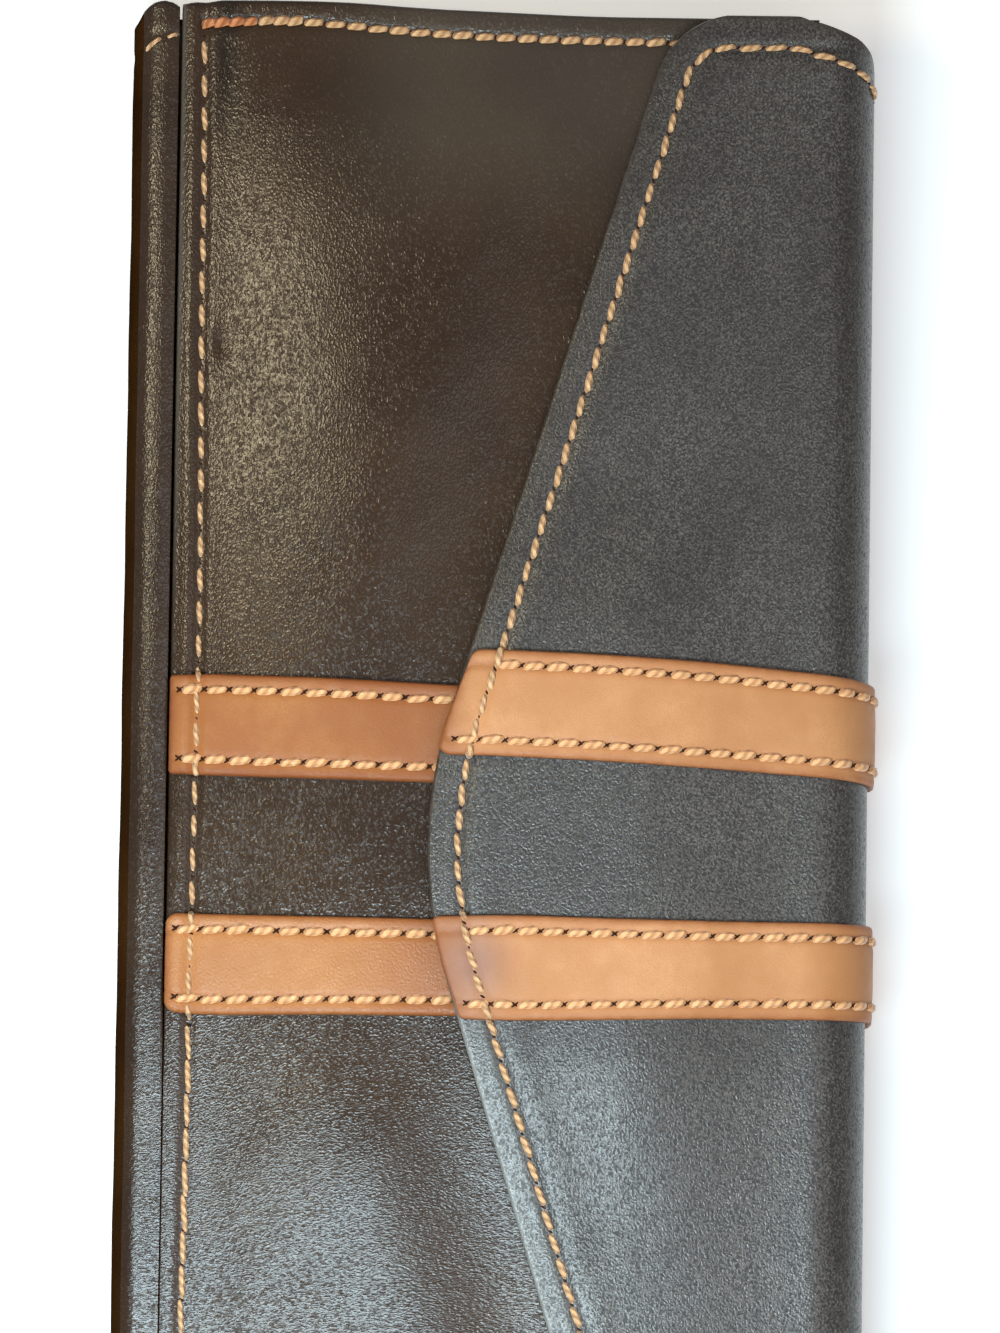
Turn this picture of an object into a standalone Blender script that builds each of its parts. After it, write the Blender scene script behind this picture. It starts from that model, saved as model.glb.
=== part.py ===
# Long clutch wallet: leather body with gussets, coin pocket and a V flap that closes round one edge
# Frame: X along the wallet, +Y towards the flap's fold, +Z up, lying on its back, metres
import math

import bmesh
import bpy
from mathutils import Matrix, Vector

# Driving sizes of the whole wallet
LENGTH = 0.2100
WIDTH = 0.0934
FOLD_END_RECESS = 0.0010

# Sheet thicknesses
LEATHER = 0.0014
STRAP = 0.0012
LINING = 0.0005
BOARD = 0.0008
FOAM = 0.0010
CARD_SHEET = 0.00045
GUSSET_THICKNESS = 0.0006
TAPE = 0.0003
THREAD_RADIUS = 0.0003

# Clearances
SEAT = 0.00025
FLAP_REST_GAP = 0.00040
BEND_GAP = 0.00060
THREAD_SEAT = 0.00012

# Hollows when shut
BILL_SPACE = 0.0043
POCKET_SPACE = 0.0016
FRONT_SPACE = 0.0013

# Rounded edges
FOLD_BACK_RADIUS = 0.0070
FOLD_LOBE_RADIUS = 0.0034
LOBE_END_ANGLE = 40.0
LOBE_DROP = 0.0002
TURN_RADIUS = 0.0070
SPLIT_ANGLE = 45.0

# Front panel
GROOVE_TO_SEAM = 0.0034
GROOVE_LIP = 0.0003
CROWN = 0.0014
CROWN_RISE_Y = 0.0240
CROWN_RISE_X = 0.0300
FRONT_EDGE_SET_IN = 0.0069
FRONT_CORNER_RADIUS = 0.0020
END_SEAM_MARGIN = 0.0030
PAD_SET_IN = 0.0040

# Flap
FLAP_LENGTH = 0.2072
TURN_WAIST_LENGTH = 0.1920
FLAP_REACH = 0.0548
APEX_RADIUS = 0.0550
SLANT_ANGLE = 17.0
FLAP_CORNER_RADIUS = 0.0072
FLAP_SEAM_MARGIN = 0.0034
FOLD_STITCH_START = 15.0
FOLD_STITCH_STOP = 130.0
FLAP_LINING_SET_IN = 0.0008
FLAP_BOARD_SET_IN = 0.0052

# Straps
STRAP_WIDTH = 0.0128
STRAP_SPACING = 0.0300
STRAP_STITCH_INSET = 0.0019
STRAP_TUCK = 0.0080
RIDE_HALF_WIDTH = 0.0240
RIDE_FADE_X = 0.0240
RIDE_FADE_Y = 0.0240
HEAD_STRAP_SKEW = 0.0034
BACK_STRAP_SET_IN = 0.0075

# Closure magnets
MAGNET_RADIUS = 0.0060
MAGNET_FROM_APEX = 0.0120
FRONT_MAGNET_THICKNESS = 0.0008
FLAP_MAGNET_THICKNESS = 0.0006

# Inside
BOARD_END_SET_IN = 0.0050
BOARD_FOLD_SET_IN = 0.0090
CARD_END_SET_IN = 0.0080
CARD_LOW_SET_IN = 0.0125
CARD_MOUTH_SET_IN = 0.0150
CARD_STEP = 0.0090
CARD_COUNT = 3
CARD_CORNER_RADIUS = 0.0030
GUSSET_END_SET_IN = 0.0025
GUSSET_DEPTH = 0.0075
GUSSET_LOW_SET_IN = 0.0080
GUSSET_MOUTH_SET_IN = 0.0120

# Coin pocket and its zip
POCKET_WALL = 0.00045
POCKET_LOW_SET_IN = 0.0107
POCKET_MOUTH_SET_IN = 0.0247
POCKET_STRIP_WIDTH = 0.0020
TAPE_WIDTH = 0.0080
TAPE_SHOWING = 0.0018
TEETH_HEIGHT = 0.0013
TEETH_WIDTH = 0.0013
TEETH_ROOT = 0.0007
TEETH_GAP = 0.0008
TEETH_PITCH = 0.0040
ZIP_END_SET_IN = 0.0060
STOP_LENGTH = 0.0030
SLIDER_LENGTH = 0.0080
SLIDER_PLATE = 0.0006
SLIDER_RIM = 0.0004
SLIDER_CLEARANCE = 0.0002
SLIDER_WEB_LENGTH = 0.0040
SLIDER_WEB = 0.0004
EAR_HEIGHT = 0.0020
EAR_LENGTH = 0.0024
EAR_THICKNESS = 0.0006
PIN_RADIUS = 0.0005
PIN_CLEARANCE = 0.0002
PULL_LENGTH = 0.0130
PULL_WIDTH = 0.0026
PULL_THICKNESS = 0.0009

# Mesh resolution
CROSS_STEPS = 10
LONG_STEPS = 24
ARC_STEP = 18.0
BEND_STEPS = 5

# Heights of the stack, from the strap under the back to the strap on the flap
Z_BACK_LEATHER = STRAP + SEAT
Z_BACK_BOARD = Z_BACK_LEATHER + LEATHER + SEAT
Z_BACK_LINING = Z_BACK_BOARD + BOARD + SEAT
Z_CARDS = Z_BACK_LINING + LINING + SEAT
Z_BILL_FLOOR = Z_CARDS + CARD_COUNT * (CARD_SHEET + SEAT) - SEAT
Z_POCKET = Z_BILL_FLOOR + BILL_SPACE
Z_POCKET_TOP = Z_POCKET + 2 * POCKET_WALL + POCKET_SPACE
Z_FRONT_LINING = Z_POCKET_TOP + FRONT_SPACE
Z_FRONT_FOAM = Z_FRONT_LINING + LINING + SEAT
Z_FRONT_LEATHER = Z_FRONT_FOAM + FOAM + SEAT
Z_FRONT = Z_FRONT_LEATHER + LEATHER
Z_FLAP_LINING = Z_FRONT + FLAP_REST_GAP
Z_FLAP_BOARD = Z_FLAP_LINING + LINING + SEAT
Z_FLAP_LEATHER = Z_FLAP_BOARD + BOARD + SEAT
Z_FLAP = Z_FLAP_LEATHER + LEATHER
FLAP_STRAP_LIFT = SEAT + STRAP

# Places across the wallet
Y_FOLD = -WIDTH / 2
Y_TURN_STRAP = WIDTH / 2
Y_TURN = Y_TURN_STRAP - STRAP - SEAT
LOBE_CENTRE = Vector((Y_FOLD + FOLD_LOBE_RADIUS, Z_FRONT - LOBE_DROP - FOLD_LOBE_RADIUS))
FOLD_CENTRE = Vector((Y_FOLD + FOLD_BACK_RADIUS, Z_BACK_LEATHER + FOLD_BACK_RADIUS))
LOBE_END = math.radians(LOBE_END_ANGLE)
Y_GROOVE = LOBE_CENTRE.x + FOLD_LOBE_RADIUS * math.cos(LOBE_END)
Z_GROOVE = LOBE_CENTRE.y + FOLD_LOBE_RADIUS * math.sin(LOBE_END)
Y_SEAM = Y_GROOVE + GROOVE_TO_SEAM
REAR_TURN_CENTRE = Vector((Y_TURN - TURN_RADIUS, Z_BACK_LEATHER + TURN_RADIUS))
FRONT_TURN_CENTRE = Vector((Y_TURN - TURN_RADIUS, Z_FLAP - TURN_RADIUS))
Y_FRONT_EDGE = Y_TURN - FRONT_EDGE_SET_IN
Y_MAGNET = WIDTH / 2 - FLAP_REACH + MAGNET_FROM_APEX
HALF_LENGTH = LENGTH / 2
HALF_FLAP = FLAP_LENGTH / 2
HALF_WAIST = TURN_WAIST_LENGTH / 2
STRAP_CENTRES = {"head": -STRAP_SPACING / 2, "foot": STRAP_SPACING / 2}
END_SIGNS = {"head": -1.0, "foot": 1.0}

# Radius of the straps' outer face round the turn, where the bend axes lie
BEND_RADIUS = TURN_RADIUS + SEAT + STRAP

# Coin pocket
POCKET_HALF_LENGTH = HALF_LENGTH - GUSSET_END_SET_IN - GUSSET_DEPTH - SEAT
Y_POCKET_LOW = Y_FOLD + POCKET_LOW_SET_IN
Y_POCKET_MOUTH = WIDTH / 2 - POCKET_MOUTH_SET_IN
Z_POCKET_MIDDLE = (Z_POCKET + Z_POCKET_TOP) / 2
ZIP_HALF_LENGTH = POCKET_HALF_LENGTH - ZIP_END_SET_IN
Y_TEETH = Y_POCKET_MOUTH + TAPE_SHOWING + SEAT
SLIDER_X = -(ZIP_HALF_LENGTH - STOP_LENGTH - SEAT - SLIDER_LENGTH / 2)
SLIDER_TRAVEL = 2 * abs(SLIDER_X)
PULL_PIN_Y = Y_TEETH + TEETH_HEIGHT + SLIDER_CLEARANCE + SLIDER_PLATE + EAR_HEIGHT / 2

COLOURS = {
    "outer_leather": ((0.045, 0.028, 0.020), 0.42, 0.0),
    "strap_leather": ((0.520, 0.270, 0.130), 0.50, 0.0),
    "lining_leather": ((0.060, 0.036, 0.026), 0.60, 0.0),
    "seam_thread": ((0.620, 0.430, 0.220), 0.70, 0.0),
    "board": ((0.420, 0.350, 0.270), 0.85, 0.0),
    "foam": ((0.700, 0.680, 0.620), 0.90, 0.0),
    "zip_tape": ((0.050, 0.040, 0.035), 0.85, 0.0),
    "zip_metal": ((0.560, 0.420, 0.240), 0.35, 1.0),
    "magnet_steel": ((0.550, 0.560, 0.580), 0.30, 1.0),
}


def clear_scene():
    """Remove every object of the open file."""
    for old in list(bpy.data.objects):
        bpy.data.objects.remove(old, do_unlink=True)


def make_collection(name):
    """Return a new collection linked to the scene."""
    made = bpy.data.collections.new(name)
    bpy.context.scene.collection.children.link(made)
    return made


def make_material(name):
    """Return a Principled material with the named finish."""
    colour, roughness, metallic = COLOURS[name]
    material = bpy.data.materials.new(name)
    material.use_nodes = True
    shader = material.node_tree.nodes["Principled BSDF"]
    shader.inputs["Base Color"].default_value = (*colour, 1.0)
    shader.inputs["Roughness"].default_value = roughness
    shader.inputs["Metallic"].default_value = metallic
    return material


clear_scene()
PARTS = make_collection("clutch_wallet")
CUTTERS = make_collection("clutch_wallet_cutters")
MATERIALS = {name: make_material(name) for name in COLOURS}


def make_pivot(name, y, z, x=0.0):
    """Return an empty that stands on a joint's axis."""
    pivot = bpy.data.objects.new(name, None)
    pivot.location = (x, y, z)
    pivot.empty_display_size = 0.01
    PARTS.objects.link(pivot)
    return pivot


def finish(obj, material, pivot=None):
    """Give an object its material and hang it on its pivot without moving it."""
    obj.data.materials.clear()
    obj.data.materials.append(MATERIALS[material])
    if pivot is not None:
        obj.parent = pivot
        obj.matrix_parent_inverse = Matrix.Translation(pivot.location).inverted()
    return obj


def mesh_object(name, shape, collection=None):
    """Turn a bmesh into an object of the wallet's collection."""
    mesh = bpy.data.meshes.new(name)
    shape.to_mesh(mesh)
    shape.free()
    obj = bpy.data.objects.new(name, mesh)
    (collection or PARTS).objects.link(obj)
    return obj


def sheet(name, surface, along, across, thickness, material, pivot=None):
    """Bend a grid over a surface given by stations and thicken it inwards.

    surface(a, b) gives the outer face's point, and a, b run over the stations.
    """
    shape = bmesh.new()
    bmesh.ops.create_grid(shape, x_segments=len(along) - 1, y_segments=len(across) - 1, size=1.0)
    for vertex in shape.verts:
        column = round((vertex.co.x + 1.0) / 2.0 * (len(along) - 1))
        row = round((vertex.co.y + 1.0) / 2.0 * (len(across) - 1))
        vertex.co = surface(along[column], across[row])
    obj = mesh_object(name, shape)
    solidify = obj.modifiers.new("thickness", "SOLIDIFY")
    solidify.thickness = thickness
    solidify.offset = -1.0
    solidify.use_even_offset = True
    obj.data.shade_smooth()
    obj.data.set_sharp_from_angle(angle=math.radians(40.0))
    return finish(obj, material, pivot)


def box(name, low, high, material, pivot=None, corner=0.0):
    """Make a box from its low and high corners, its upright edges rounded by corner."""
    size = Vector(high) - Vector(low)
    middle = (Vector(high) + Vector(low)) / 2
    shape = bmesh.new()
    bmesh.ops.create_cube(shape, size=1.0)
    bmesh.ops.scale(shape, vec=size, verts=shape.verts)
    if corner > 0.0:
        upright = [edge for edge in shape.edges if abs(edge.verts[0].co.z - edge.verts[1].co.z) > size.z / 2]
        bmesh.ops.bevel(shape, geom=upright, offset=corner, segments=3, profile=0.5, affect="EDGES")
    bmesh.ops.translate(shape, vec=middle, verts=shape.verts)
    return finish(mesh_object(name, shape), material, pivot)


def thread(name, points, pivot=None):
    """Make one run of seam thread along its points."""
    curve = bpy.data.curves.new(name, "CURVE")
    curve.dimensions = "3D"
    curve.bevel_depth = THREAD_RADIUS
    curve.bevel_resolution = 0
    curve.use_fill_caps = True
    spline = curve.splines.new("POLY")
    spline.points.add(len(points) - 1)
    for point, place in zip(spline.points, points):
        point.co = (*place, 1.0)
    obj = bpy.data.objects.new(name, curve)
    PARTS.objects.link(obj)
    return finish(obj, "seam_thread", pivot)


def spread(start, end, steps):
    """Return steps + 1 evenly spaced values."""
    return [start + (end - start) * step / steps for step in range(steps + 1)]


def smooth_rise(distance, run):
    """Rise from 0 to 1 over a run, level at both ends."""
    share = min(1.0, max(0.0, distance / run))
    return share * share * (3.0 - 2.0 * share)


def crown(x, y):
    """Height by which the padded front swells above its flat margins."""
    ends = smooth_rise(HALF_LENGTH - END_SEAM_MARGIN - abs(x), CROWN_RISE_X)
    fold_side = smooth_rise(y - Y_SEAM, CROWN_RISE_Y)
    mouth_side = smooth_rise(REAR_TURN_CENTRE.x - y, CROWN_RISE_Y)
    return CROWN * ends * fold_side * mouth_side


def strap_ride(x, y):
    """Height by which the flap rides up over the tucked ends of the front straps."""
    along = 1.0 - smooth_rise(abs(x) - RIDE_HALF_WIDTH, RIDE_FADE_X)
    across = smooth_rise(FRONT_TURN_CENTRE.x - y, RIDE_FADE_Y)
    return (SEAT + STRAP) * along * across


def flap_swell(x, y):
    """Height of the flap above its flat level: the padded front's crown and the ride."""
    return crown(x, y) + strap_ride(x, y)


def groove_dip(y):
    """Depth by which the front leather dives into the crease groove."""
    share = min(1.0, max(0.0, (Y_SEAM - y) / GROOVE_TO_SEAM))
    return (Z_FRONT - Z_GROOVE) * share * share


def flap_edge(x):
    """Y of the flap's cut edge: an apex arc, two slants and rounded corners."""
    slant = math.radians(SLANT_ANGLE)
    tangent = APEX_RADIUS * math.sin(slant)
    if abs(x) < tangent:
        drop = APEX_RADIUS - math.sqrt(APEX_RADIUS ** 2 - x * x)
    else:
        drop = APEX_RADIUS * (1.0 - math.cos(slant)) + (abs(x) - tangent) * math.tan(slant)
    into_corner = max(0.0, abs(x) - (HALF_FLAP - FLAP_CORNER_RADIUS))
    into_corner = min(into_corner, FLAP_CORNER_RADIUS)
    rounding = FLAP_CORNER_RADIUS - math.sqrt(FLAP_CORNER_RADIUS ** 2 - into_corner ** 2)
    return WIDTH / 2 - FLAP_REACH + drop + rounding


def front_half_length(y):
    """Half length of the front panel, less at its rounded corners."""
    near_edge = min(y - Y_GROOVE, Y_FRONT_EDGE - y)
    into_corner = min(FRONT_CORNER_RADIUS, max(0.0, FRONT_CORNER_RADIUS - near_edge))
    return HALF_LENGTH - FRONT_CORNER_RADIUS + math.sqrt(FRONT_CORNER_RADIUS ** 2 - into_corner ** 2)


def turn_half_length(angle):
    """Half length of the flap's strip round the turn, waisted at the side.

    angle is 0 at the side, 90 degrees on the flap and -90 degrees on the back.
    """
    full = HALF_FLAP if angle > 0.0 else HALF_LENGTH
    return HALF_WAIST + (full - HALF_WAIST) * (1.0 - math.cos(math.radians(min(90.0, abs(angle)))))


def end_shares(steps):
    """Shares from -1 to 1 that crowd towards both ends."""
    return [1.5 * share - 0.5 * share ** 3 for share in spread(-1.0, 1.0, steps)]


def turn_point(centre, radius, angle):
    """Point (y, z) at an angle from +Y on an arc round a turn's centre."""
    return (
        centre.x + radius * math.cos(math.radians(angle)),
        centre.y + radius * math.sin(math.radians(angle)),
    )


def bend_trim(radius):
    """Angle by which a sheet stops short of the bend's plane."""
    return math.degrees(BEND_GAP / 2 / radius)


def back_outline():
    """Outer profile of the back leather, from the groove over the lobe to the rear bend."""
    profile = []
    lobe_steps = round((180.0 - LOBE_END_ANGLE) / ARC_STEP)
    for angle in spread(LOBE_END_ANGLE, 180.0, lobe_steps):
        profile.append(turn_point(LOBE_CENTRE, FOLD_LOBE_RADIUS, angle))
    for angle in spread(180.0, 270.0, round(90.0 / ARC_STEP)):
        profile.append(turn_point(FOLD_CENTRE, FOLD_BACK_RADIUS, angle))
    profile += [(y, Z_BACK_LEATHER) for y in spread(FOLD_CENTRE.x, REAR_TURN_CENTRE.x, 4)[1:-1]]
    stop = -SPLIT_ANGLE - bend_trim(TURN_RADIUS)
    for angle in spread(-90.0, stop, BEND_STEPS):
        profile.append(turn_point(REAR_TURN_CENTRE, TURN_RADIUS, angle))
    return profile


def back_half_length(y, z):
    """Half length of the back leather: short at the rolled fold, waisted into the turn."""
    if y > REAR_TURN_CENTRE.x:
        angle = math.degrees(math.atan2(z - REAR_TURN_CENTRE.y, y - REAR_TURN_CENTRE.x))
        return turn_half_length(angle)
    recess = FOLD_END_RECESS * smooth_rise(z - Z_BACK_LEATHER, FOLD_BACK_RADIUS)
    return HALF_LENGTH - recess


def build_back(pivots):
    """Back panel with the rolled bottom fold, its board, linings and card slots."""
    profile = back_outline()

    def leather_face(share, station):
        y, z = profile[station]
        return Vector((share * back_half_length(y, z), y, z))

    sheet("back_leather", leather_face, spread(1.0, -1.0, 4), range(len(profile)), LEATHER, "outer_leather")
    y_inner = Y_FOLD + BOARD_FOLD_SET_IN
    y_mouth = REAR_TURN_CENTRE.x
    board_half = HALF_LENGTH - BOARD_END_SET_IN
    box(
        "back_board", (-board_half, y_inner, Z_BACK_BOARD), (board_half, y_mouth, Z_BACK_BOARD + BOARD),
        "board", corner=CARD_CORNER_RADIUS,
    )
    lining_half = HALF_LENGTH - FOLD_END_RECESS
    box(
        "back_lining", (-lining_half, y_inner, Z_BACK_LINING), (lining_half, y_mouth, Z_BACK_LINING + LINING),
        "lining_leather",
    )
    fold_lining_radius = FOLD_BACK_RADIUS - LEATHER - SEAT
    lining_profile = [turn_point(FOLD_CENTRE, fold_lining_radius, angle) for angle in spread(180.0, 270.0, 5)]
    lining_profile.insert(0, (lining_profile[0][0], LOBE_CENTRE.y))

    def fold_lining_face(x, station):
        y, z = lining_profile[station]
        return Vector((x, y, z))

    sheet(
        "fold_lining", fold_lining_face, spread(lining_half, -lining_half, 2), range(len(lining_profile)),
        LINING, "lining_leather",
    )
    card_half = HALF_LENGTH - CARD_END_SET_IN
    for number in range(CARD_COUNT):
        z = Z_CARDS + number * (CARD_SHEET + SEAT)
        mouth = Y_TURN_STRAP - CARD_MOUTH_SET_IN - number * CARD_STEP
        box(
            f"card_slot_sheet_{number + 1}", (-card_half, Y_FOLD + CARD_LOW_SET_IN, z),
            (card_half, mouth, z + CARD_SHEET), "lining_leather", corner=CARD_CORNER_RADIUS,
        )


def build_gussets():
    """Folded gusset at each end, from the back lining to the front lining."""
    low = Z_CARDS
    high = Z_FRONT_LINING - SEAT
    for end, sign in END_SIGNS.items():
        outer = HALF_LENGTH - GUSSET_END_SET_IN
        profile = [(outer, low), (outer - GUSSET_DEPTH, (low + high) / 2), (outer, high)]
        if sign > 0:
            profile.reverse()

        def gusset_face(y, station, profile=profile, sign=sign):
            x, z = profile[station]
            return Vector((sign * x, y, z))

        mouth = WIDTH / 2 - GUSSET_MOUTH_SET_IN
        sheet(
            f"gusset_{end}", gusset_face, spread(Y_FOLD + GUSSET_LOW_SET_IN, mouth, 2), range(3),
            GUSSET_THICKNESS, "lining_leather",
        )


def build_turn(pivot):
    """Strip of leather and lining round the side, between the two bends."""
    def strip(name, outer, thickness, material, half_length, steps):
        trim = bend_trim(outer)
        stations = [(REAR_TURN_CENTRE, angle) for angle in spread(-SPLIT_ANGLE + trim, 0.0, BEND_STEPS)]
        stations += [(FRONT_TURN_CENTRE, angle) for angle in spread(0.0, SPLIT_ANGLE - trim, BEND_STEPS)]

        def face(share, station):
            centre, angle = stations[station]
            y, z = turn_point(centre, outer, angle)
            return Vector((half_length(share, angle), y, z))

        sheet(name, face, spread(1.0, -1.0, steps), range(len(stations)), thickness, material, pivot)

    strip("turn_leather", TURN_RADIUS, LEATHER, "outer_leather", lambda s, a: s * turn_half_length(a), 6)
    strip(
        "turn_lining", TURN_RADIUS - LEATHER - SEAT, LINING, "lining_leather",
        lambda s, a: s * (turn_half_length(a) - FLAP_LINING_SET_IN), 6,
    )
    for end, centre_x in STRAP_CENTRES.items():
        strip(
            f"turn_strap_{end}", BEND_RADIUS, STRAP, "strap_leather",
            lambda s, a, c=centre_x: c + s * STRAP_WIDTH / 2, 1,
        )


def flap_sheet(name, top, arc_radius, set_in, thickness, material, pivot):
    """One full sheet of the flap: the crowned flat, then the arc down to the front bend.

    top is the height of its outer face on the flat, before the crown, and set_in its
    distance inside the flap's cut edge. On the arc it eases from that height to arc_radius.
    """
    arc = spread(90.0, SPLIT_ANGLE + bend_trim(arc_radius), BEND_STEPS)
    y_arc = FRONT_TURN_CENTRE.x
    step = FRONT_TURN_CENTRE.y + arc_radius - top

    def face(share, station):
        if station <= CROSS_STEPS:
            x = share * (HALF_FLAP - set_in)
            edge = flap_edge(x) + set_in
            y = edge + (y_arc - edge) * station / CROSS_STEPS
            return Vector((x, y, top + flap_swell(x, y)))
        angle = arc[station - CROSS_STEPS]
        y, z = turn_point(FRONT_TURN_CENTRE, arc_radius, angle)
        eased = step * (angle - SPLIT_ANGLE) / (90.0 - SPLIT_ANGLE)
        return Vector((share * (turn_half_length(angle) - set_in), y, z - eased))

    stations = range(CROSS_STEPS + len(arc))
    return sheet(name, face, end_shares(LONG_STEPS), stations, thickness, material, pivot)


def flap_board(pivot):
    """Stiffener of the flap, flat part only, inside the seam."""
    def face(share, part):
        x = share * (HALF_FLAP - FLAP_BOARD_SET_IN)
        edge = flap_edge(x) + FLAP_BOARD_SET_IN
        y = edge + (FRONT_TURN_CENTRE.x - edge) * part
        return Vector((x, y, Z_FLAP_BOARD + BOARD + flap_swell(x, y)))

    parts = spread(0.0, 1.0, CROSS_STEPS)
    return sheet("flap_board", face, end_shares(LONG_STEPS), parts, BOARD, "board", pivot)


def magnet(name, thickness, z, pivot):
    """Disc magnet of the closure."""
    shape = bmesh.new()
    bmesh.ops.create_cone(
        shape, cap_ends=True, segments=24, radius1=MAGNET_RADIUS, radius2=MAGNET_RADIUS, depth=thickness,
    )
    bmesh.ops.translate(shape, vec=(0.0, Y_MAGNET, z + thickness / 2), verts=shape.verts)
    return finish(mesh_object(name, shape), "magnet_steel", pivot)


def magnet_hole(sheet_object, z):
    """Cut the seat of a magnet through a sheet."""
    shape = bmesh.new()
    radius = MAGNET_RADIUS + SEAT
    bmesh.ops.create_cone(shape, cap_ends=True, segments=24, radius1=radius, radius2=radius, depth=4 * FOAM)
    bmesh.ops.translate(shape, vec=(0.0, Y_MAGNET, z), verts=shape.verts)
    cutter = mesh_object(f"{sheet_object.name}_magnet_cutter", shape, CUTTERS)
    cutter.hide_render = True
    cutter.display_type = "WIRE"
    cut = sheet_object.modifiers.new("magnet_hole", "BOOLEAN")
    cut.operation = "DIFFERENCE"
    cut.object = cutter


def flap_strap_shift(end, y):
    """Shift of a flap strap's middle along X: the head strap is sewn a little askew."""
    if end != "head":
        return 0.0
    share = (FRONT_TURN_CENTRE.x - y) / (FRONT_TURN_CENTRE.x - flap_edge(STRAP_CENTRES["head"]))
    return -HEAD_STRAP_SKEW * max(0.0, share)


def build_flap(pivot):
    """Flap with lining, board, magnet and its two straps."""
    flap_sheet("flap_leather", Z_FLAP, TURN_RADIUS, 0.0, LEATHER, "outer_leather", pivot)
    flap_sheet(
        "flap_lining", Z_FLAP_LINING + LINING, TURN_RADIUS - LEATHER - SEAT, FLAP_LINING_SET_IN,
        LINING, "lining_leather", pivot,
    )
    board = flap_board(pivot)
    swell = flap_swell(0.0, Y_MAGNET)
    magnet_hole(board, Z_FLAP_BOARD + swell)
    seat = Z_FLAP_BOARD + swell + (BOARD - FLAP_MAGNET_THICKNESS) / 2
    magnet("flap_magnet", FLAP_MAGNET_THICKNESS, seat, pivot)
    for end, centre_x in STRAP_CENTRES.items():
        build_flap_strap(end, centre_x, pivot)


def build_flap_strap(end, centre_x, pivot):
    """Strap on the flap, from the cut edge to the front bend, and its stitching."""
    arc = spread(90.0, SPLIT_ANGLE + bend_trim(BEND_RADIUS), BEND_STEPS)

    def middle(y):
        return centre_x + flap_strap_shift(end, y)

    def place(side, part):
        """Point on the flap for a share of the strap's width and of its flat length."""
        edge = flap_edge(middle(flap_edge(centre_x)) + side * STRAP_WIDTH / 2)
        y = edge + (FRONT_TURN_CENTRE.x - edge) * part
        x = middle(y) + side * STRAP_WIDTH / 2
        return x, y, Z_FLAP + flap_swell(x, y)

    def face(side, station):
        if station <= CROSS_STEPS:
            x, y, z = place(side, station / CROSS_STEPS)
            return Vector((x, y, z + FLAP_STRAP_LIFT))
        y, z = turn_point(FRONT_TURN_CENTRE, BEND_RADIUS, arc[station - CROSS_STEPS])
        return Vector((centre_x + side * STRAP_WIDTH / 2, y, z))

    sheet(
        f"flap_strap_{end}", face, spread(-1.0, 1.0, 2), range(CROSS_STEPS + len(arc)), STRAP,
        "strap_leather", pivot,
    )
    inset = 1.0 - STRAP_STITCH_INSET / (STRAP_WIDTH / 2)
    lift = Vector((0.0, 0.0, FLAP_STRAP_LIFT + THREAD_SEAT + THREAD_RADIUS))
    flat_length = FRONT_TURN_CENTRE.x - flap_edge(centre_x)
    first = (FLAP_SEAM_MARGIN + 2 * STRAP_STITCH_INSET) / flat_length
    last = 1.0 - STRAP_STITCH_INSET / flat_length
    run = [Vector(place(-inset, part)) + lift for part in spread(first, last, CROSS_STEPS)]
    run += [Vector(place(inset, part)) + lift for part in spread(last, first, CROSS_STEPS)]
    thread(f"flap_strap_thread_{end}", run, pivot)


def front_height(x, y):
    """Height of the front leather's outer face."""
    return Z_FRONT + crown(x, y) - groove_dip(y)


def front_rows():
    """Stations across the front panel, from the groove to the mouth."""
    rows = spread(Y_GROOVE + GROOVE_LIP, Y_SEAM, 2)
    rows += spread(Y_SEAM, Y_FRONT_EDGE - FRONT_CORNER_RADIUS, CROSS_STEPS)[1:]
    rows += spread(Y_FRONT_EDGE - FRONT_CORNER_RADIUS, Y_FRONT_EDGE, 2)[1:]
    return rows


def build_front(pivot):
    """Padded front panel with foam, lining, magnet, straps and seam."""
    def leather_face(share, y):
        x = share * front_half_length(y)
        return Vector((x, y, front_height(x, y)))

    shares = end_shares(LONG_STEPS)
    sheet("front_leather", leather_face, shares, front_rows(), LEATHER, "outer_leather", pivot)
    half = HALF_LENGTH - PAD_SET_IN
    pad_rows = spread(Y_GROOVE + PAD_SET_IN, Y_FRONT_EDGE - FRONT_CORNER_RADIUS, CROSS_STEPS)

    def layer_face(top):
        return lambda share, y: Vector((share * half, y, top + crown(share * half, y)))

    foam = sheet(
        "front_foam", layer_face(Z_FRONT_FOAM + FOAM), shares, pad_rows, FOAM, "foam", pivot,
    )
    sheet(
        "front_lining", layer_face(Z_FRONT_LINING + LINING), shares, pad_rows, LINING, "lining_leather", pivot,
    )
    swell = crown(0.0, Y_MAGNET)
    magnet_hole(foam, Z_FRONT_FOAM + swell)
    seat = Z_FRONT_FOAM + swell + (FOAM - FRONT_MAGNET_THICKNESS) / 2
    magnet("front_magnet", FRONT_MAGNET_THICKNESS, seat, pivot)
    for end, centre_x in STRAP_CENTRES.items():
        build_front_strap(end, centre_x, pivot)


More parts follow.
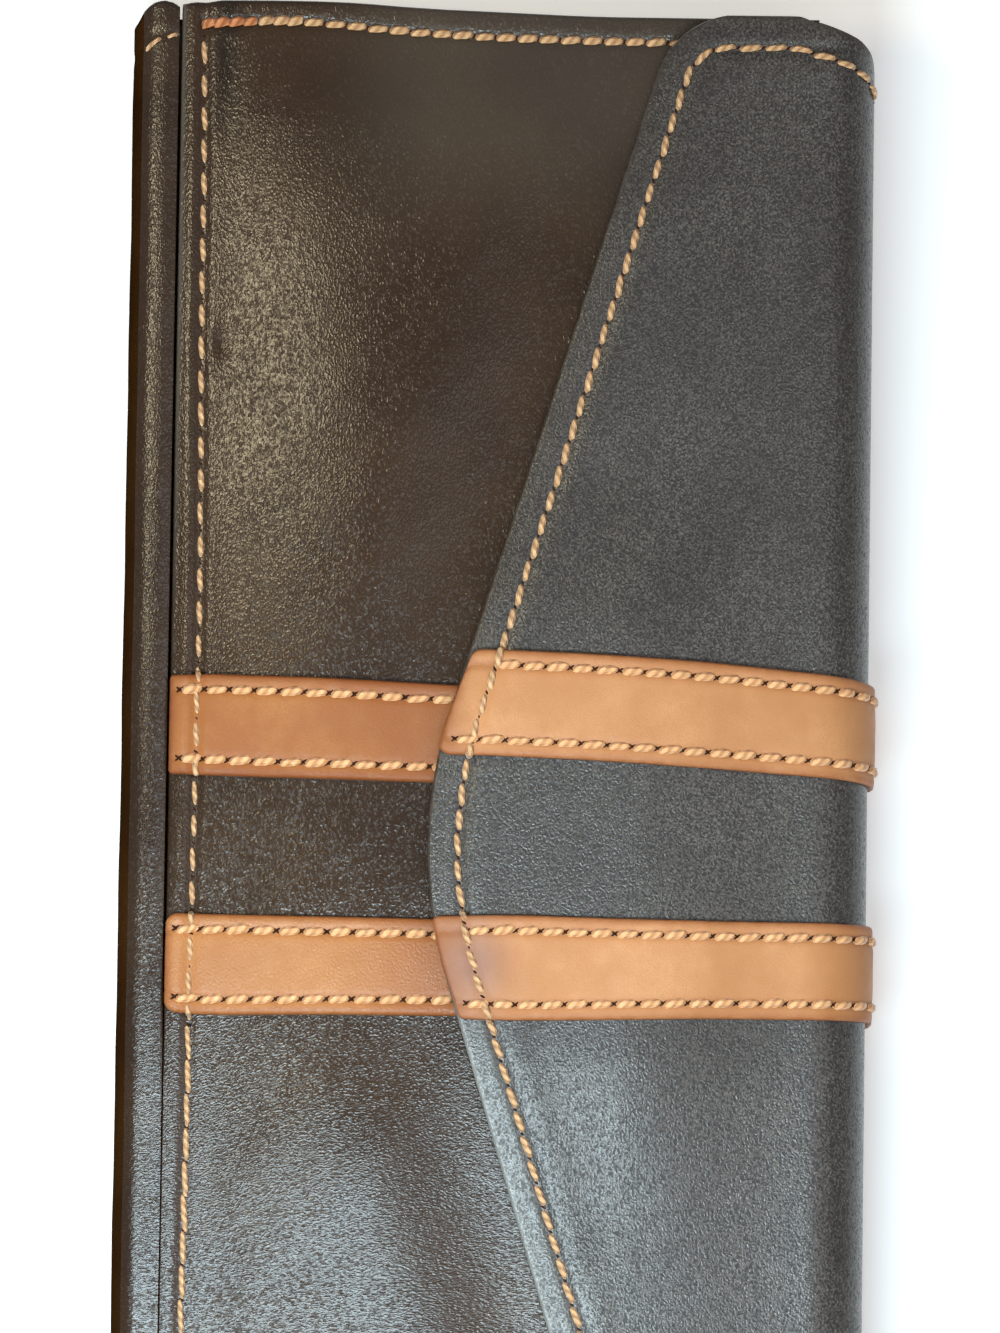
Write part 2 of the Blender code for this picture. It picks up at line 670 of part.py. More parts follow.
def build_front_strap(end, centre_x, pivot):
    """Strap on the front panel, from the groove to its end under the flap, and its stitching."""
    start = Y_GROOVE + GROOVE_LIP
    strap_length = flap_edge(centre_x) + STRAP_TUCK - start

    def place(side, part):
        x = centre_x + side * STRAP_WIDTH / 2
        y = start + strap_length * part
        return Vector((x, y, front_height(x, y)))

    lift = Vector((0.0, 0.0, SEAT + STRAP))
    seam_part = GROOVE_TO_SEAM / strap_length
    parts = spread(0.0, seam_part, 2) + spread(seam_part, 1.0, CROSS_STEPS - 2)[1:]
    sheet(
        f"front_strap_{end}", lambda side, part: place(side, part) + lift, spread(-1.0, 1.0, 2), parts,
        STRAP, "strap_leather", pivot,
    )
    inset = 1.0 - STRAP_STITCH_INSET / (STRAP_WIDTH / 2)
    raised = lift + Vector((0.0, 0.0, THREAD_SEAT + THREAD_RADIUS))
    first = seam_part + STRAP_STITCH_INSET / strap_length
    last = 1.0 - (STRAP_TUCK + 2 * STRAP_STITCH_INSET) / strap_length
    run = [place(-inset, part) + raised for part in spread(first, last, CROSS_STEPS - 4)]
    run += [place(inset, part) + raised for part in spread(last, first, CROSS_STEPS - 4)]
    thread(f"front_strap_thread_{end}", run, pivot)


def build_back_straps():
    """Straps under the back, from the rear bend towards the bottom fold, and their stitching."""
    y_end = Y_FOLD + BACK_STRAP_SET_IN
    y_arc = REAR_TURN_CENTRE.x
    stop = -SPLIT_ANGLE - bend_trim(BEND_RADIUS)
    arc = [turn_point(REAR_TURN_CENTRE, BEND_RADIUS, angle) for angle in spread(-90.0, stop, BEND_STEPS)]
    profile = [(y_end, 0.0)] + arc
    for end, centre_x in STRAP_CENTRES.items():
        def face(side, station, centre_x=centre_x):
            y, z = profile[station]
            return Vector((centre_x + side * STRAP_WIDTH / 2, y, z))

        sheet(
            f"back_strap_{end}", face, spread(1.0, -1.0, 1), range(len(profile)), STRAP, "strap_leather",
        )


def seam_stations(stations, middles):
    """X stations of a long seam, each with the share of a strap's height that it climbs there.

    middles holds the straps' middles along X where the seam crosses them.
    """
    climb = STRAP_WIDTH / 2 + 3 * THREAD_RADIUS
    step = THREAD_RADIUS
    clear = [x for x in stations if all(abs(x - middle) > climb + 2 * step for middle in middles)]
    crossings = [(x, 0.0) for x in clear]
    for middle in middles:
        crossings += [(middle - climb - step, 0.0), (middle - climb + step, 1.0)]
        crossings += [(middle + climb - step, 1.0), (middle + climb + step, 0.0)]
    return sorted(crossings)


def build_front_seam(pivot):
    """Seam of the front panel: both ends and the side by the groove."""
    end_x = HALF_LENGTH - END_SEAM_MARGIN
    y_stop = flap_edge(end_x) - FLAP_SEAM_MARGIN
    lift = THREAD_SEAT + THREAD_RADIUS
    points = [Vector((-end_x, y_stop, front_height(end_x, y_stop) + lift))]
    points.append(Vector((-end_x, Y_SEAM, front_height(end_x, Y_SEAM) + lift)))
    for x, climb in seam_stations([], STRAP_CENTRES.values()):
        points.append(Vector((x, Y_SEAM, front_height(x, Y_SEAM) + lift + climb * (SEAT + STRAP))))
    points.append(Vector((end_x, Y_SEAM, front_height(end_x, Y_SEAM) + lift)))
    points.append(Vector((end_x, y_stop, front_height(end_x, y_stop) + lift)))
    thread("front_seam_thread", points, pivot)


def build_flap_seam(pivot):
    """Seam of the flap: parallel to its cut edge, from bend to bend."""
    end_x = HALF_FLAP - FLAP_SEAM_MARGIN
    corner_x = HALF_FLAP - FLAP_CORNER_RADIUS
    slant_margin = FLAP_SEAM_MARGIN / math.cos(math.radians(SLANT_ANGLE))
    y_corner = flap_edge(corner_x) + slant_margin + FLAP_CORNER_RADIUS - FLAP_SEAM_MARGIN
    middles = [
        centre + flap_strap_shift(end, flap_edge(centre) + slant_margin)
        for end, centre in STRAP_CENTRES.items()
    ]
    points = [(-end_x, y, 0.0) for y in spread(FRONT_TURN_CENTRE.x, y_corner, 2)]
    for x, climb in seam_stations(spread(-corner_x, corner_x, LONG_STEPS), middles):
        points.append((x, flap_edge(x) + slant_margin, climb))
    points += [(end_x, y, 0.0) for y in spread(y_corner, FRONT_TURN_CENTRE.x, 2)]
    lift = THREAD_SEAT + THREAD_RADIUS
    run = [
        Vector((x, y, Z_FLAP + flap_swell(x, y) + lift + climb * FLAP_STRAP_LIFT)) for x, y, climb in points
    ]
    thread("flap_seam_thread", run, pivot)


def build_back_seam():
    """Seam under the back: both ends and the side by the bottom fold."""
    end_x = HALF_LENGTH - END_SEAM_MARGIN
    z = Z_BACK_LEATHER - THREAD_SEAT - THREAD_RADIUS
    y_low = FOLD_CENTRE.x - END_SEAM_MARGIN / 2
    y_high = REAR_TURN_CENTRE.x - END_SEAM_MARGIN
    corners = [(-end_x, y_high), (-end_x, y_low), (end_x, y_low), (end_x, y_high)]
    thread("back_seam_thread", [Vector((x, y, z)) for x, y in corners])


def build_fold_stitches():
    """Stitches that close the rolled fold at each end, over the lobe."""
    for end, sign in END_SIGNS.items():
        x = sign * (HALF_LENGTH - FOLD_END_RECESS - END_SEAM_MARGIN)
        radius = FOLD_LOBE_RADIUS + THREAD_SEAT + THREAD_RADIUS
        arc = spread(LOBE_END_ANGLE + FOLD_STITCH_START, FOLD_STITCH_STOP, 6)
        points = [Vector((x, *turn_point(LOBE_CENTRE, radius, angle))) for angle in arc]
        thread(f"fold_stitch_{end}", points)


def comb_outline(sign):
    """Outline (x, z) of one row of zip teeth, teeth towards the zip's middle."""
    inner = Z_POCKET_MIDDLE + sign * TEETH_GAP / 2
    root = inner + sign * (TEETH_WIDTH - TEETH_ROOT)
    outer = inner + sign * TEETH_WIDTH
    half = ZIP_HALF_LENGTH - STOP_LENGTH - SEAT
    count = int(2 * half / TEETH_PITCH)
    start = -count * TEETH_PITCH / 2
    points = []
    for number in range(count):
        x = start + number * TEETH_PITCH
        points += [
            (x, root), (x + TEETH_PITCH * 0.25, inner),
            (x + TEETH_PITCH * 0.75, inner), (x + TEETH_PITCH, root),
        ]
    merged = [points[0]] + [b for a, b in zip(points, points[1:]) if a != b]
    return merged + [(start + count * TEETH_PITCH, outer), (start, outer)]


def build_teeth(name, sign, pivot):
    """One row of zip teeth as a toothed bar, extruded across the zip."""
    curve = bpy.data.curves.new(name, "CURVE")
    curve.dimensions = "2D"
    curve.fill_mode = "BOTH"
    curve.extrude = TEETH_HEIGHT / 2
    spline = curve.splines.new("POLY")
    outline = comb_outline(sign)
    spline.points.add(len(outline) - 1)
    for point, (x, z) in zip(spline.points, outline):
        point.co = (x, z - Z_POCKET_MIDDLE, 0.0, 1.0)
    spline.use_cyclic_u = True
    obj = bpy.data.objects.new(name, curve)
    obj.rotation_euler = (math.radians(90.0), 0.0, 0.0)
    obj.location = (0.0, Y_TEETH + TEETH_HEIGHT / 2, Z_POCKET_MIDDLE)
    PARTS.objects.link(obj)
    return finish(obj, "zip_metal", pivot)


def build_pocket(pivot):
    """Coin pocket leaf: two walls, the strip at its bottom, tapes, teeth and stops."""
    half = POCKET_HALF_LENGTH
    low = Y_POCKET_LOW
    mouth = Y_POCKET_MOUTH
    inner_back = Z_POCKET + POCKET_WALL
    inner_front = Z_POCKET_TOP - POCKET_WALL
    box("pocket_wall_back", (-half, low, Z_POCKET), (half, mouth, inner_back), "lining_leather", pivot)
    box("pocket_wall_front", (-half, low, inner_front), (half, mouth, Z_POCKET_TOP), "lining_leather", pivot)
    box(
        "pocket_bottom_strip", (-half, low, inner_back + SEAT),
        (half, low + POCKET_STRIP_WIDTH, inner_front - SEAT), "lining_leather", pivot,
    )
    tape_low = Y_POCKET_MOUTH + TAPE_SHOWING - TAPE_WIDTH
    tape_high = Y_POCKET_MOUTH + TAPE_SHOWING
    zip_half = ZIP_HALF_LENGTH
    box(
        "zip_tape_back", (-zip_half, tape_low, inner_back + SEAT),
        (zip_half, tape_high, inner_back + SEAT + TAPE), "zip_tape", pivot,
    )
    box(
        "zip_tape_front", (-zip_half, tape_low, inner_front - SEAT - TAPE),
        (zip_half, tape_high, inner_front - SEAT), "zip_tape", pivot,
    )
    build_teeth("zip_teeth_back", -1.0, pivot)
    build_teeth("zip_teeth_front", 1.0, pivot)
    stop_half_width = TEETH_GAP / 2 + TEETH_WIDTH
    for end, sign in END_SIGNS.items():
        outer = sign * zip_half
        inner = sign * (zip_half - STOP_LENGTH)
        box(
            f"zip_stop_{end}", (min(outer, inner), Y_TEETH, Z_POCKET_MIDDLE - stop_half_width),
            (max(outer, inner), Y_TEETH + TEETH_HEIGHT, Z_POCKET_MIDDLE + stop_half_width),
            "zip_metal", pivot,
        )


def join_boxes(name, boxes, material, pivot):
    """Unite boxes given by their corners into one solid."""
    whole = box(name, *boxes[0], material, pivot)
    for number, (low, high) in enumerate(boxes[1:]):
        piece = box(f"{name}_piece_{number}", low, high, material)
        PARTS.objects.unlink(piece)
        CUTTERS.objects.link(piece)
        piece.hide_render = True
        piece.display_type = "WIRE"
        joined = whole.modifiers.new(f"join_{number}", "BOOLEAN")
        joined.operation = "UNION"
        joined.object = piece
    return whole


def build_slider(pivot):
    """Zip slider: outer plate, inner plate, the web between the rows and two ears."""
    x = SLIDER_X
    half_width = TEETH_GAP / 2 + TEETH_WIDTH + SLIDER_RIM
    outer_low = Y_TEETH + TEETH_HEIGHT + SLIDER_CLEARANCE
    inner_high = Y_TEETH - SLIDER_CLEARANCE
    tape_face = Z_POCKET_MIDDLE + POCKET_SPACE / 2 - SEAT - TAPE
    inner_half_width = tape_face - Z_POCKET_MIDDLE - SLIDER_CLEARANCE
    outer_plate = (
        (x - SLIDER_LENGTH / 2, outer_low, Z_POCKET_MIDDLE - half_width),
        (x + SLIDER_LENGTH / 2, outer_low + SLIDER_PLATE, Z_POCKET_MIDDLE + half_width),
    )
    inner_plate = (
        (x - SLIDER_LENGTH / 2, inner_high - SLIDER_PLATE, Z_POCKET_MIDDLE - inner_half_width),
        (x + SLIDER_LENGTH / 2, inner_high, Z_POCKET_MIDDLE + inner_half_width),
    )
    web = (
        (x - SLIDER_WEB_LENGTH / 2, inner_high - SLIDER_PLATE / 2, Z_POCKET_MIDDLE - SLIDER_WEB / 2),
        (x + SLIDER_WEB_LENGTH / 2, outer_low + SLIDER_PLATE / 2, Z_POCKET_MIDDLE + SLIDER_WEB / 2),
    )
    ear_gap = PULL_WIDTH / 2 + SLIDER_CLEARANCE
    ears = []
    for side in (-1.0, 1.0):
        z_near = Z_POCKET_MIDDLE + side * ear_gap
        z_far = z_near + side * EAR_THICKNESS
        ears.append((
            (x - EAR_LENGTH / 2, outer_low + SLIDER_PLATE / 2, min(z_near, z_far)),
            (x + EAR_LENGTH / 2, outer_low + SLIDER_PLATE + EAR_HEIGHT, max(z_near, z_far)),
        ))
    slider = join_boxes("zip_slider", [outer_plate, inner_plate, web] + ears, "zip_metal", pivot)
    shape = bmesh.new()
    radius = PIN_RADIUS + PIN_CLEARANCE
    depth = 2 * (ear_gap + 2 * EAR_THICKNESS)
    bmesh.ops.create_cone(shape, cap_ends=True, segments=16, radius1=radius, radius2=radius, depth=depth)
    bmesh.ops.translate(shape, vec=(x, PULL_PIN_Y, Z_POCKET_MIDDLE), verts=shape.verts)
    drill = mesh_object("zip_slider_pin_bore", shape, CUTTERS)
    drill.hide_render = True
    drill.display_type = "WIRE"
    bore = slider.modifiers.new("pin_bore", "BOOLEAN")
    bore.operation = "DIFFERENCE"
    bore.object = drill
    return slider


def build_pull(pivot):
    """Zip pull: a flat tab with the pin that turns in the slider's ears."""
    x = SLIDER_X
    tab = (
        (x - PIN_RADIUS, PULL_PIN_Y - PULL_THICKNESS / 2, Z_POCKET_MIDDLE - PULL_WIDTH / 2),
        (x + PULL_LENGTH, PULL_PIN_Y + PULL_THICKNESS / 2, Z_POCKET_MIDDLE + PULL_WIDTH / 2),
    )
    pull = box("zip_pull", *tab, "zip_metal", pivot)
    shape = bmesh.new()
    depth = 2 * (PULL_WIDTH / 2 + SLIDER_CLEARANCE + EAR_THICKNESS)
    bmesh.ops.create_cone(
        shape, cap_ends=True, segments=16, radius1=PIN_RADIUS, radius2=PIN_RADIUS, depth=depth,
    )
    bmesh.ops.translate(shape, vec=(x, PULL_PIN_Y, Z_POCKET_MIDDLE), verts=shape.verts)
    pin = mesh_object("zip_pull_pin", shape, CUTTERS)
    pin.hide_render = True
    pin.display_type = "WIRE"
    joined = pull.modifiers.new("pin", "BOOLEAN")
    joined.operation = "UNION"
    joined.object = pin
    return pull


def build_wallet():
    """Build every piece, each on the pivot of the body that it moves with."""
    rear_bend = turn_point(REAR_TURN_CENTRE, BEND_RADIUS, -SPLIT_ANGLE)
    front_bend = turn_point(FRONT_TURN_CENTRE, BEND_RADIUS, SPLIT_ANGLE)
    turn_pivot = make_pivot("rear_bend_axis", *rear_bend)
    flap_pivot = make_pivot("front_bend_axis", *front_bend)
    front_pivot = make_pivot("crease_axis", Y_GROOVE + GROOVE_LIP / 2, Z_GROOVE)
    pocket_pivot = make_pivot("pocket_axis", Y_POCKET_LOW, Z_POCKET_MIDDLE)
    slider_pivot = make_pivot("slider_axis", Y_TEETH, Z_POCKET_MIDDLE, SLIDER_X)
    pull_pivot = make_pivot("pull_axis", PULL_PIN_Y, Z_POCKET_MIDDLE, SLIDER_X)
    build_back(None)
    build_gussets()
    build_back_straps()
    build_back_seam()
    build_fold_stitches()
    build_turn(turn_pivot)
    build_flap(flap_pivot)
    build_flap_seam(flap_pivot)
    build_front(front_pivot)
    build_front_seam(front_pivot)
    build_pocket(pocket_pivot)
    build_slider(slider_pivot)
    build_pull(pull_pivot)
    print("rear bend axis", rear_bend)
    print("front bend axis", front_bend)
    print("crease axis", Y_GROOVE + GROOVE_LIP / 2, Z_GROOVE)
    print("pocket axis", Y_POCKET_LOW, Z_POCKET_MIDDLE)
    print("pull axis", SLIDER_X, PULL_PIN_Y, Z_POCKET_MIDDLE)
    print("slider travel", SLIDER_TRAVEL)


build_wallet()
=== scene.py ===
"""Dress the long clutch wallet: leather skins, straps, seams, gussets, linings and their finishes.

All sizes are in millimetres until a mesh is put in; the wallet lies on its back with +X towards its
foot end, +Y towards the flap's fold and +Z up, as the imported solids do.
"""
import logging
from dataclasses import dataclass, field
from enum import Enum
from typing import Callable, Sequence

import bpy
import numpy as np
from mathutils import Matrix


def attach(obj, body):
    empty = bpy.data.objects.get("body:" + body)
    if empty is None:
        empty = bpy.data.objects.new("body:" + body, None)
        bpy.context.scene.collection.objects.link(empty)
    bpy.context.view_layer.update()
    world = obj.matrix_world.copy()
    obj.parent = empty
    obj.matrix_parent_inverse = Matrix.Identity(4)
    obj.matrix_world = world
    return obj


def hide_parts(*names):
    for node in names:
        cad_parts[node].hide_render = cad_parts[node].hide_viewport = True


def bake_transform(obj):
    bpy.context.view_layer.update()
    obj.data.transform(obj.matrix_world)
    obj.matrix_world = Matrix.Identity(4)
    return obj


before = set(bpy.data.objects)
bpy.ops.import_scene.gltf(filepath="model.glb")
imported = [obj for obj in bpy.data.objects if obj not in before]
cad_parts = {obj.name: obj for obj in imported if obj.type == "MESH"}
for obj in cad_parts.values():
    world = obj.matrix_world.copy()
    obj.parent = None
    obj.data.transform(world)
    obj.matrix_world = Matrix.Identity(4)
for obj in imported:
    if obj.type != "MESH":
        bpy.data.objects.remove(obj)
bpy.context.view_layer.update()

MM = 0.001
LOG = logging.getLogger("clutch_wallet")
Array = np.ndarray
Field2 = Callable[[Array, Array], Array]


class End(Enum):
    """The wallet's two ends, with their direction along X."""

    HEAD = -1.0
    FOOT = 1.0


# Curves and measures shared by the pieces

def smooth(distance: Array, run: float) -> Array:
    """Rise from 0 to 1 over a run, level at both ends: t*t*(3-2t), with t held from 0 to 1."""
    share = np.clip(np.asarray(distance, float) / run, 0.0, 1.0)
    return share * share * (3.0 - 2.0 * share)


def bell(distance: Array, width: float) -> Array:
    """Bell curve exp(-(d/width)^2)."""
    return np.exp(-((np.asarray(distance, float) / width) ** 2))


def rounding(distance: Array, radius: float) -> Array:
    """Depth of a quarter-round edge: radius - sqrt(radius^2 - (radius-d)^2) within radius of it."""
    left = np.clip(radius - distance, 0.0, radius * 0.985)
    return radius - np.sqrt(radius ** 2 - left ** 2)


def through(x: Array, points: Sequence[tuple[float, float]]) -> Array:
    """Straight stretches through a few (place, value) points, eased where they meet.

    Args:
        x: places at which the value is wanted.
        points: (place, value) pairs, places rising.

    Returns:
        Values, the mean of three nearby readings so that corners are soft.
    """
    places, values = np.array(points, float).T
    soft = 0.04 * (places[-1] - places[0])
    return sum(np.interp(x + shift, places, values) for shift in (-soft, 0.0, soft)) / 3.0


def margin_steps(length: float, step: float, low: bool = True, high: bool = True,
                 band: float = 6.2) -> Array:
    """Stations from 0 to length that crowd within a sewn margin of either border.

    Args:
        length: whole run.
        step: wide spacing away from the borders.
        low: crowd near 0.
        high: crowd near length.
        band: width of the crowded margin.

    Returns:
        Rising distances that start at 0 and end at length.
    """
    fine = np.concatenate([[0.0, 0.06, 0.16, 0.32], np.arange(0.6, band, 0.35)])
    first = fine if low else np.array([0.0])
    last = length - fine[::-1] if high else np.array([length])
    between = np.linspace(first[-1], last[0], max(2, int((last[0] - first[-1]) / step) + 1))[1:-1]
    return np.concatenate([first, between, last])


def wander(seed: float, x: Array, y: Array, wave: float) -> Array:
    """Slow hand-made unevenness from -1 to 1: a sum of three slanted sines of about that wave.

    Args:
        seed: shifts the sines.
        x: places along the wallet.
        y: places across it.
        wave: length of the longest wave.

    Returns:
        Values from -1 to 1.
    """
    turn = 2.0 * np.pi / wave
    first = np.sin(turn * (x + 0.37 * y) + seed)
    second = np.sin(turn * 1.63 * (0.42 * x - y) + 2.1 * seed)
    third = np.sin(turn * 2.71 * (0.8 * x + 0.9 * y) + 3.7 * seed)
    return (first + 0.6 * second + 0.35 * third) / 1.95


# The wallet's own sizes and forms

@dataclass(frozen=True)
class WalletSizes:
    """Main sizes in millimetres.

    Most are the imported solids' own. Set against the photograph instead are the flap's half length, apex and
    seam margin and the places of groove, seam and front edge, all within half a millimetre of the solids,
    and the groove's depth, which is about a millimetre less.
    """

    half_length: float = 105.0
    y_fold: float = -46.7
    y_turn: float = 45.25
    z_back: float = 1.45
    z_front: float = 18.25
    z_flap: float = 21.85
    leather: float = 1.4
    lining: float = 0.5
    turn_radius: float = 7.0
    lobe_radius: float = 3.4
    lobe_drop: float = 0.2
    groove_y: float = -40.60
    groove_depth: float = 0.34
    seam_y: float = -37.4
    front_edge: float = 38.3
    end_margin: float = 3.0
    crown: float = 1.4
    crown_rise_y: float = 24.0
    crown_rise_x: float = 30.0
    flap_half: float = 103.2
    apex_y: float = -8.5
    apex_radius: float = 55.0
    slant: float = 17.0
    corner: float = 7.2
    edge_margin: float = 3.7
    ride: float = 1.45
    ride_half: float = 24.0
    ride_fade: float = 24.0

    @property
    def slant_cos(self) -> float:
        """Share of a step across the wallet that leads away from the slanted cut edge."""
        return float(np.cos(np.radians(self.slant)))

    @property
    def turn_y(self) -> float:
        """Y of both centres of the turn."""
        return self.y_turn - self.turn_radius

    @property
    def rear_z(self) -> float:
        """Height of the rear arc's centre."""
        return self.z_back + self.turn_radius

    @property
    def front_z(self) -> float:
        """Height of the front arc's centre."""
        return self.z_flap - self.turn_radius

    @property
    def side_z(self) -> float:
        """Height at which the flap's skin meets the back's skin, half way up the side."""
        return 0.5 * (self.rear_z + self.front_z)


SIZE = WalletSizes()
# Further from a border than anything of the border reaches
FAR = 9.0
FURROW_Y = -34.9


def lengthwise(step: float) -> Array:
    """Shares from -1 to 1 of the wallet's half length, crowded near both ends."""
    return margin_steps(2.0 * SIZE.half_length, step) / SIZE.half_length - 1.0


def arc(centre: tuple[float, float], radius: float, start: float, end: float) -> Array:
    """Points (y, z) of an arc, angles in degrees from +Y, two degrees apart."""
    angle = np.radians(np.linspace(start, end, int(abs(end - start) / 2.0) + 2))
    return np.stack([centre[0] + radius * np.cos(angle), centre[1] + radius * np.sin(angle)], -1)


class SectionPath:
    """A line across the wallet in (y, z), walked by its own length s, with its outward normal."""

    def __init__(self, corners: Array, step: float = 0.1) -> None:
        """Walk through the corners and resample them every step.

        Args:
            corners: points (y, z) in walking order.
            step: spacing of the new points.
        """
        keep = np.concatenate([[True], np.linalg.norm(np.diff(corners, axis=0), axis=1) > 1e-6])
        corners = corners[keep]
        walked = np.concatenate([[0.0], np.cumsum(np.linalg.norm(np.diff(corners, axis=0), axis=1))])
        self.length = float(walked[-1])
        self.s = np.linspace(0.0, self.length, int(self.length / step) + 2)
        self.y = np.interp(self.s, walked, corners[:, 0])
        self.z = np.interp(self.s, walked, corners[:, 1])
        along_y, along_z = np.gradient(self.y, self.s), np.gradient(self.z, self.s)
        size = np.hypot(along_y, along_z)
        self.normal_y, self.normal_z = -along_z / size, along_y / size

    def at(self, x: Array, s: Array, lift: Array) -> Array:
        """Points lifted off the path: (x, P(s) + N(s) * lift).

        Args:
            x: places along the wallet.
            s: walked length on the path.
            lift: height above the path along its normal.

        Returns:
            Points with a last axis of three.
        """
        y = np.interp(s, self.s, self.y) + np.interp(s, self.s, self.normal_y) * lift
        z = np.interp(s, self.s, self.z) + np.interp(s, self.s, self.normal_z) * lift
        return np.stack(np.broadcast_arrays(x, y, z), -1)

    def y_at(self, s: Array) -> Array:
        """Y of the bare path."""
        return np.interp(s, self.s, self.y)

    def normal_at(self, s: Array) -> Array:
        """Outward normal with a last axis of three."""
        y, z = np.interp(s, self.s, self.normal_y), np.interp(s, self.s, self.normal_z)
        return np.stack([np.zeros_like(y), y, z], -1)


FLAP_START = -12.0
FLAP_PATH = SectionPath(np.concatenate([
    [[FLAP_START, SIZE.z_flap]],
    arc((SIZE.turn_y, SIZE.front_z), SIZE.turn_radius, 90.0, 0.0),
    [[SIZE.y_turn, SIZE.side_z]],
]))
BACK_PATH = SectionPath(np.concatenate([
    [[SIZE.y_turn, SIZE.side_z]],
    arc((SIZE.turn_y, SIZE.rear_z), SIZE.turn_radius, 0.0, -90.0),
    arc((SIZE.y_fold + SIZE.turn_radius, SIZE.rear_z), SIZE.turn_radius, 270.0, 180.0),
    arc(
        (SIZE.y_fold + SIZE.lobe_radius, SIZE.z_front - SIZE.lobe_drop - SIZE.lobe_radius),
        SIZE.lobe_radius, 180.0, 90.0,
    ),
    [[-42.6, 18.06], [-41.7, 18.06], [-40.74, 18.05], [-40.68, 17.99]],
    [[-40.66, 17.8], [-40.64, 17.1], [-40.45, 16.5]],
]))
FRONT_PATH = SectionPath(np.array([[SIZE.groove_y, SIZE.z_front], [SIZE.front_edge, SIZE.z_front]]))
BACK_FLAT_START = SIZE.side_z - SIZE.rear_z + 0.5 * np.pi * SIZE.turn_radius


def back_length(y: Array) -> Array:
    """Walked length at which the back's flat passes a Y."""
    return BACK_FLAT_START + SIZE.turn_y - y


def crown(x: Array, y: Array) -> Array:
    """Swell of the padded front: crown * rise from the ends * rise from the seam * rise from the mouth.

    Args:
        x: places along the wallet.
        y: places across it.

    Returns:
        Height of the swell.
    """
    ends = smooth(SIZE.half_length - SIZE.end_margin - np.abs(x), SIZE.crown_rise_x)
    fold_side = smooth(y - SIZE.seam_y, SIZE.crown_rise_y)
    return SIZE.crown * ends * fold_side * smooth(SIZE.turn_y - y, SIZE.crown_rise_y)


def strap_ride(x: Array, y: Array) -> Array:
    """Rise of the flap over the tucked strap ends: full within ride_half, then it fades."""
    along = 1.0 - smooth(np.abs(x) - SIZE.ride_half, SIZE.ride_fade)
    return SIZE.ride * along * smooth(SIZE.turn_y - y, SIZE.ride_fade)


def flap_edge(x: Array) -> Array:
    """Y of the flap's cut edge: an apex arc, then two slants, with rounded outer corners.

    Args:
        x: places along the wallet.

    Returns:
        Y of the edge there.
    """
    slant = np.radians(SIZE.slant)
    tangent = SIZE.apex_radius * np.sin(slant)
    reach = np.abs(x)
    bow = SIZE.apex_radius - np.sqrt(SIZE.apex_radius ** 2 - np.minimum(reach, tangent) ** 2)
    drop = bow + np.maximum(reach - tangent, 0.0) * np.tan(slant)
    into = np.clip(reach - (SIZE.flap_half - SIZE.corner), 0.0, SIZE.corner * 0.992)
    return SIZE.apex_y + drop + SIZE.corner - np.sqrt(SIZE.corner ** 2 - into ** 2)


# Half lengths by angle round the turn, then half lengths and end seams by Y, then the long seam's Y by X
TURN_WAIST = ((0.0, 96.2), (9.0, 97.6), (18.0, 99.0), (44.0, 100.6), (69.0, 101.6), (90.0, 102.4))
FRONT_END = ((-40.4, 104.2), (-38.8, 104.9), (-30.0, 105.0), (-20.0, 104.9), (-11.0, 104.2), (0.0, 103.8),
             (10.0, 103.4), (38.3, 103.3))
HEAD_SEAM = ((-37.9, 101.9), (-30.0, 102.5), (-24.5, 102.3), (-19.5, 101.9), (-14.3, 101.3), (-1.2, 100.6),
             (10.0, 100.3), (38.0, 100.1))
ROLL_END = ((-46.7, 101.9), (-46.0, 102.5), (-45.6, 103.5), (-44.4, 104.5), (-42.9, 104.9), (-41.7, 104.6),
            (-40.7, 104.0))
LONG_SEAM = ((-102.0, -37.9), (-88.0, -37.5), (-67.0, -37.6), (-30.0, -37.1), (-4.0, -37.3), (7.0, -37.55),
             (39.0, -37.6), (51.0, -37.95), (102.0, -37.8))


def cut_length(x: Array) -> Array:
    """Walked length on the flap's path at which its cut edge lies."""
    return flap_edge(x) - FLAP_START


def strap_start(x: Array) -> Array:
    """Walked length at which the flap's straps start, just inside its cut edge."""
    return cut_length(x) + 0.05


def long_seam_y(x: Array) -> Array:
    """Y of the front panel's long seam by the groove."""
    return through(x, LONG_SEAM)


def end_seam_x(y: Array) -> Array:
    """Distance of the front panel's end seams from the middle."""
    return through(y, HEAD_SEAM)


def front_half(y: Array) -> Array:
    """Half length of the front panel, its corner by the groove rounded."""
    return through(y, FRONT_END)


def turn_angle(path: SectionPath, s: Array, centre_z: float) -> Array:
    """Angle in degrees round the turn, 0 on the side and 90 where the flat begins.

    Args:
        path: the path round the turn.
        s: walked lengths on it.
        centre_z: height of its arc's centre.

    Returns:
        Angles.
    """
    y, z = np.interp(s, path.s, path.y), np.interp(s, path.s, path.z)
    steep = np.degrees(np.arctan2(np.abs(z - centre_z), np.maximum(y - SIZE.turn_y, 1e-9)))
    beyond = (y < SIZE.y_turn - 1e-4) | (np.abs(z - SIZE.side_z) > abs(SIZE.side_z - centre_z))
    return np.where(beyond, steep, 0.0)


def flap_half_length(s: Array) -> Array:
    """Half length of the flap's skin: full on the flat, waisted round the turn.

    Args:
        s: walked lengths on the flap's path.

    Returns:
        Half lengths.
    """
    waist = through(turn_angle(FLAP_PATH, s, SIZE.front_z), TURN_WAIST)
    full = smooth(SIZE.turn_y - FLAP_PATH.y_at(s), 3.0)
    return waist + (SIZE.flap_half - waist) * full


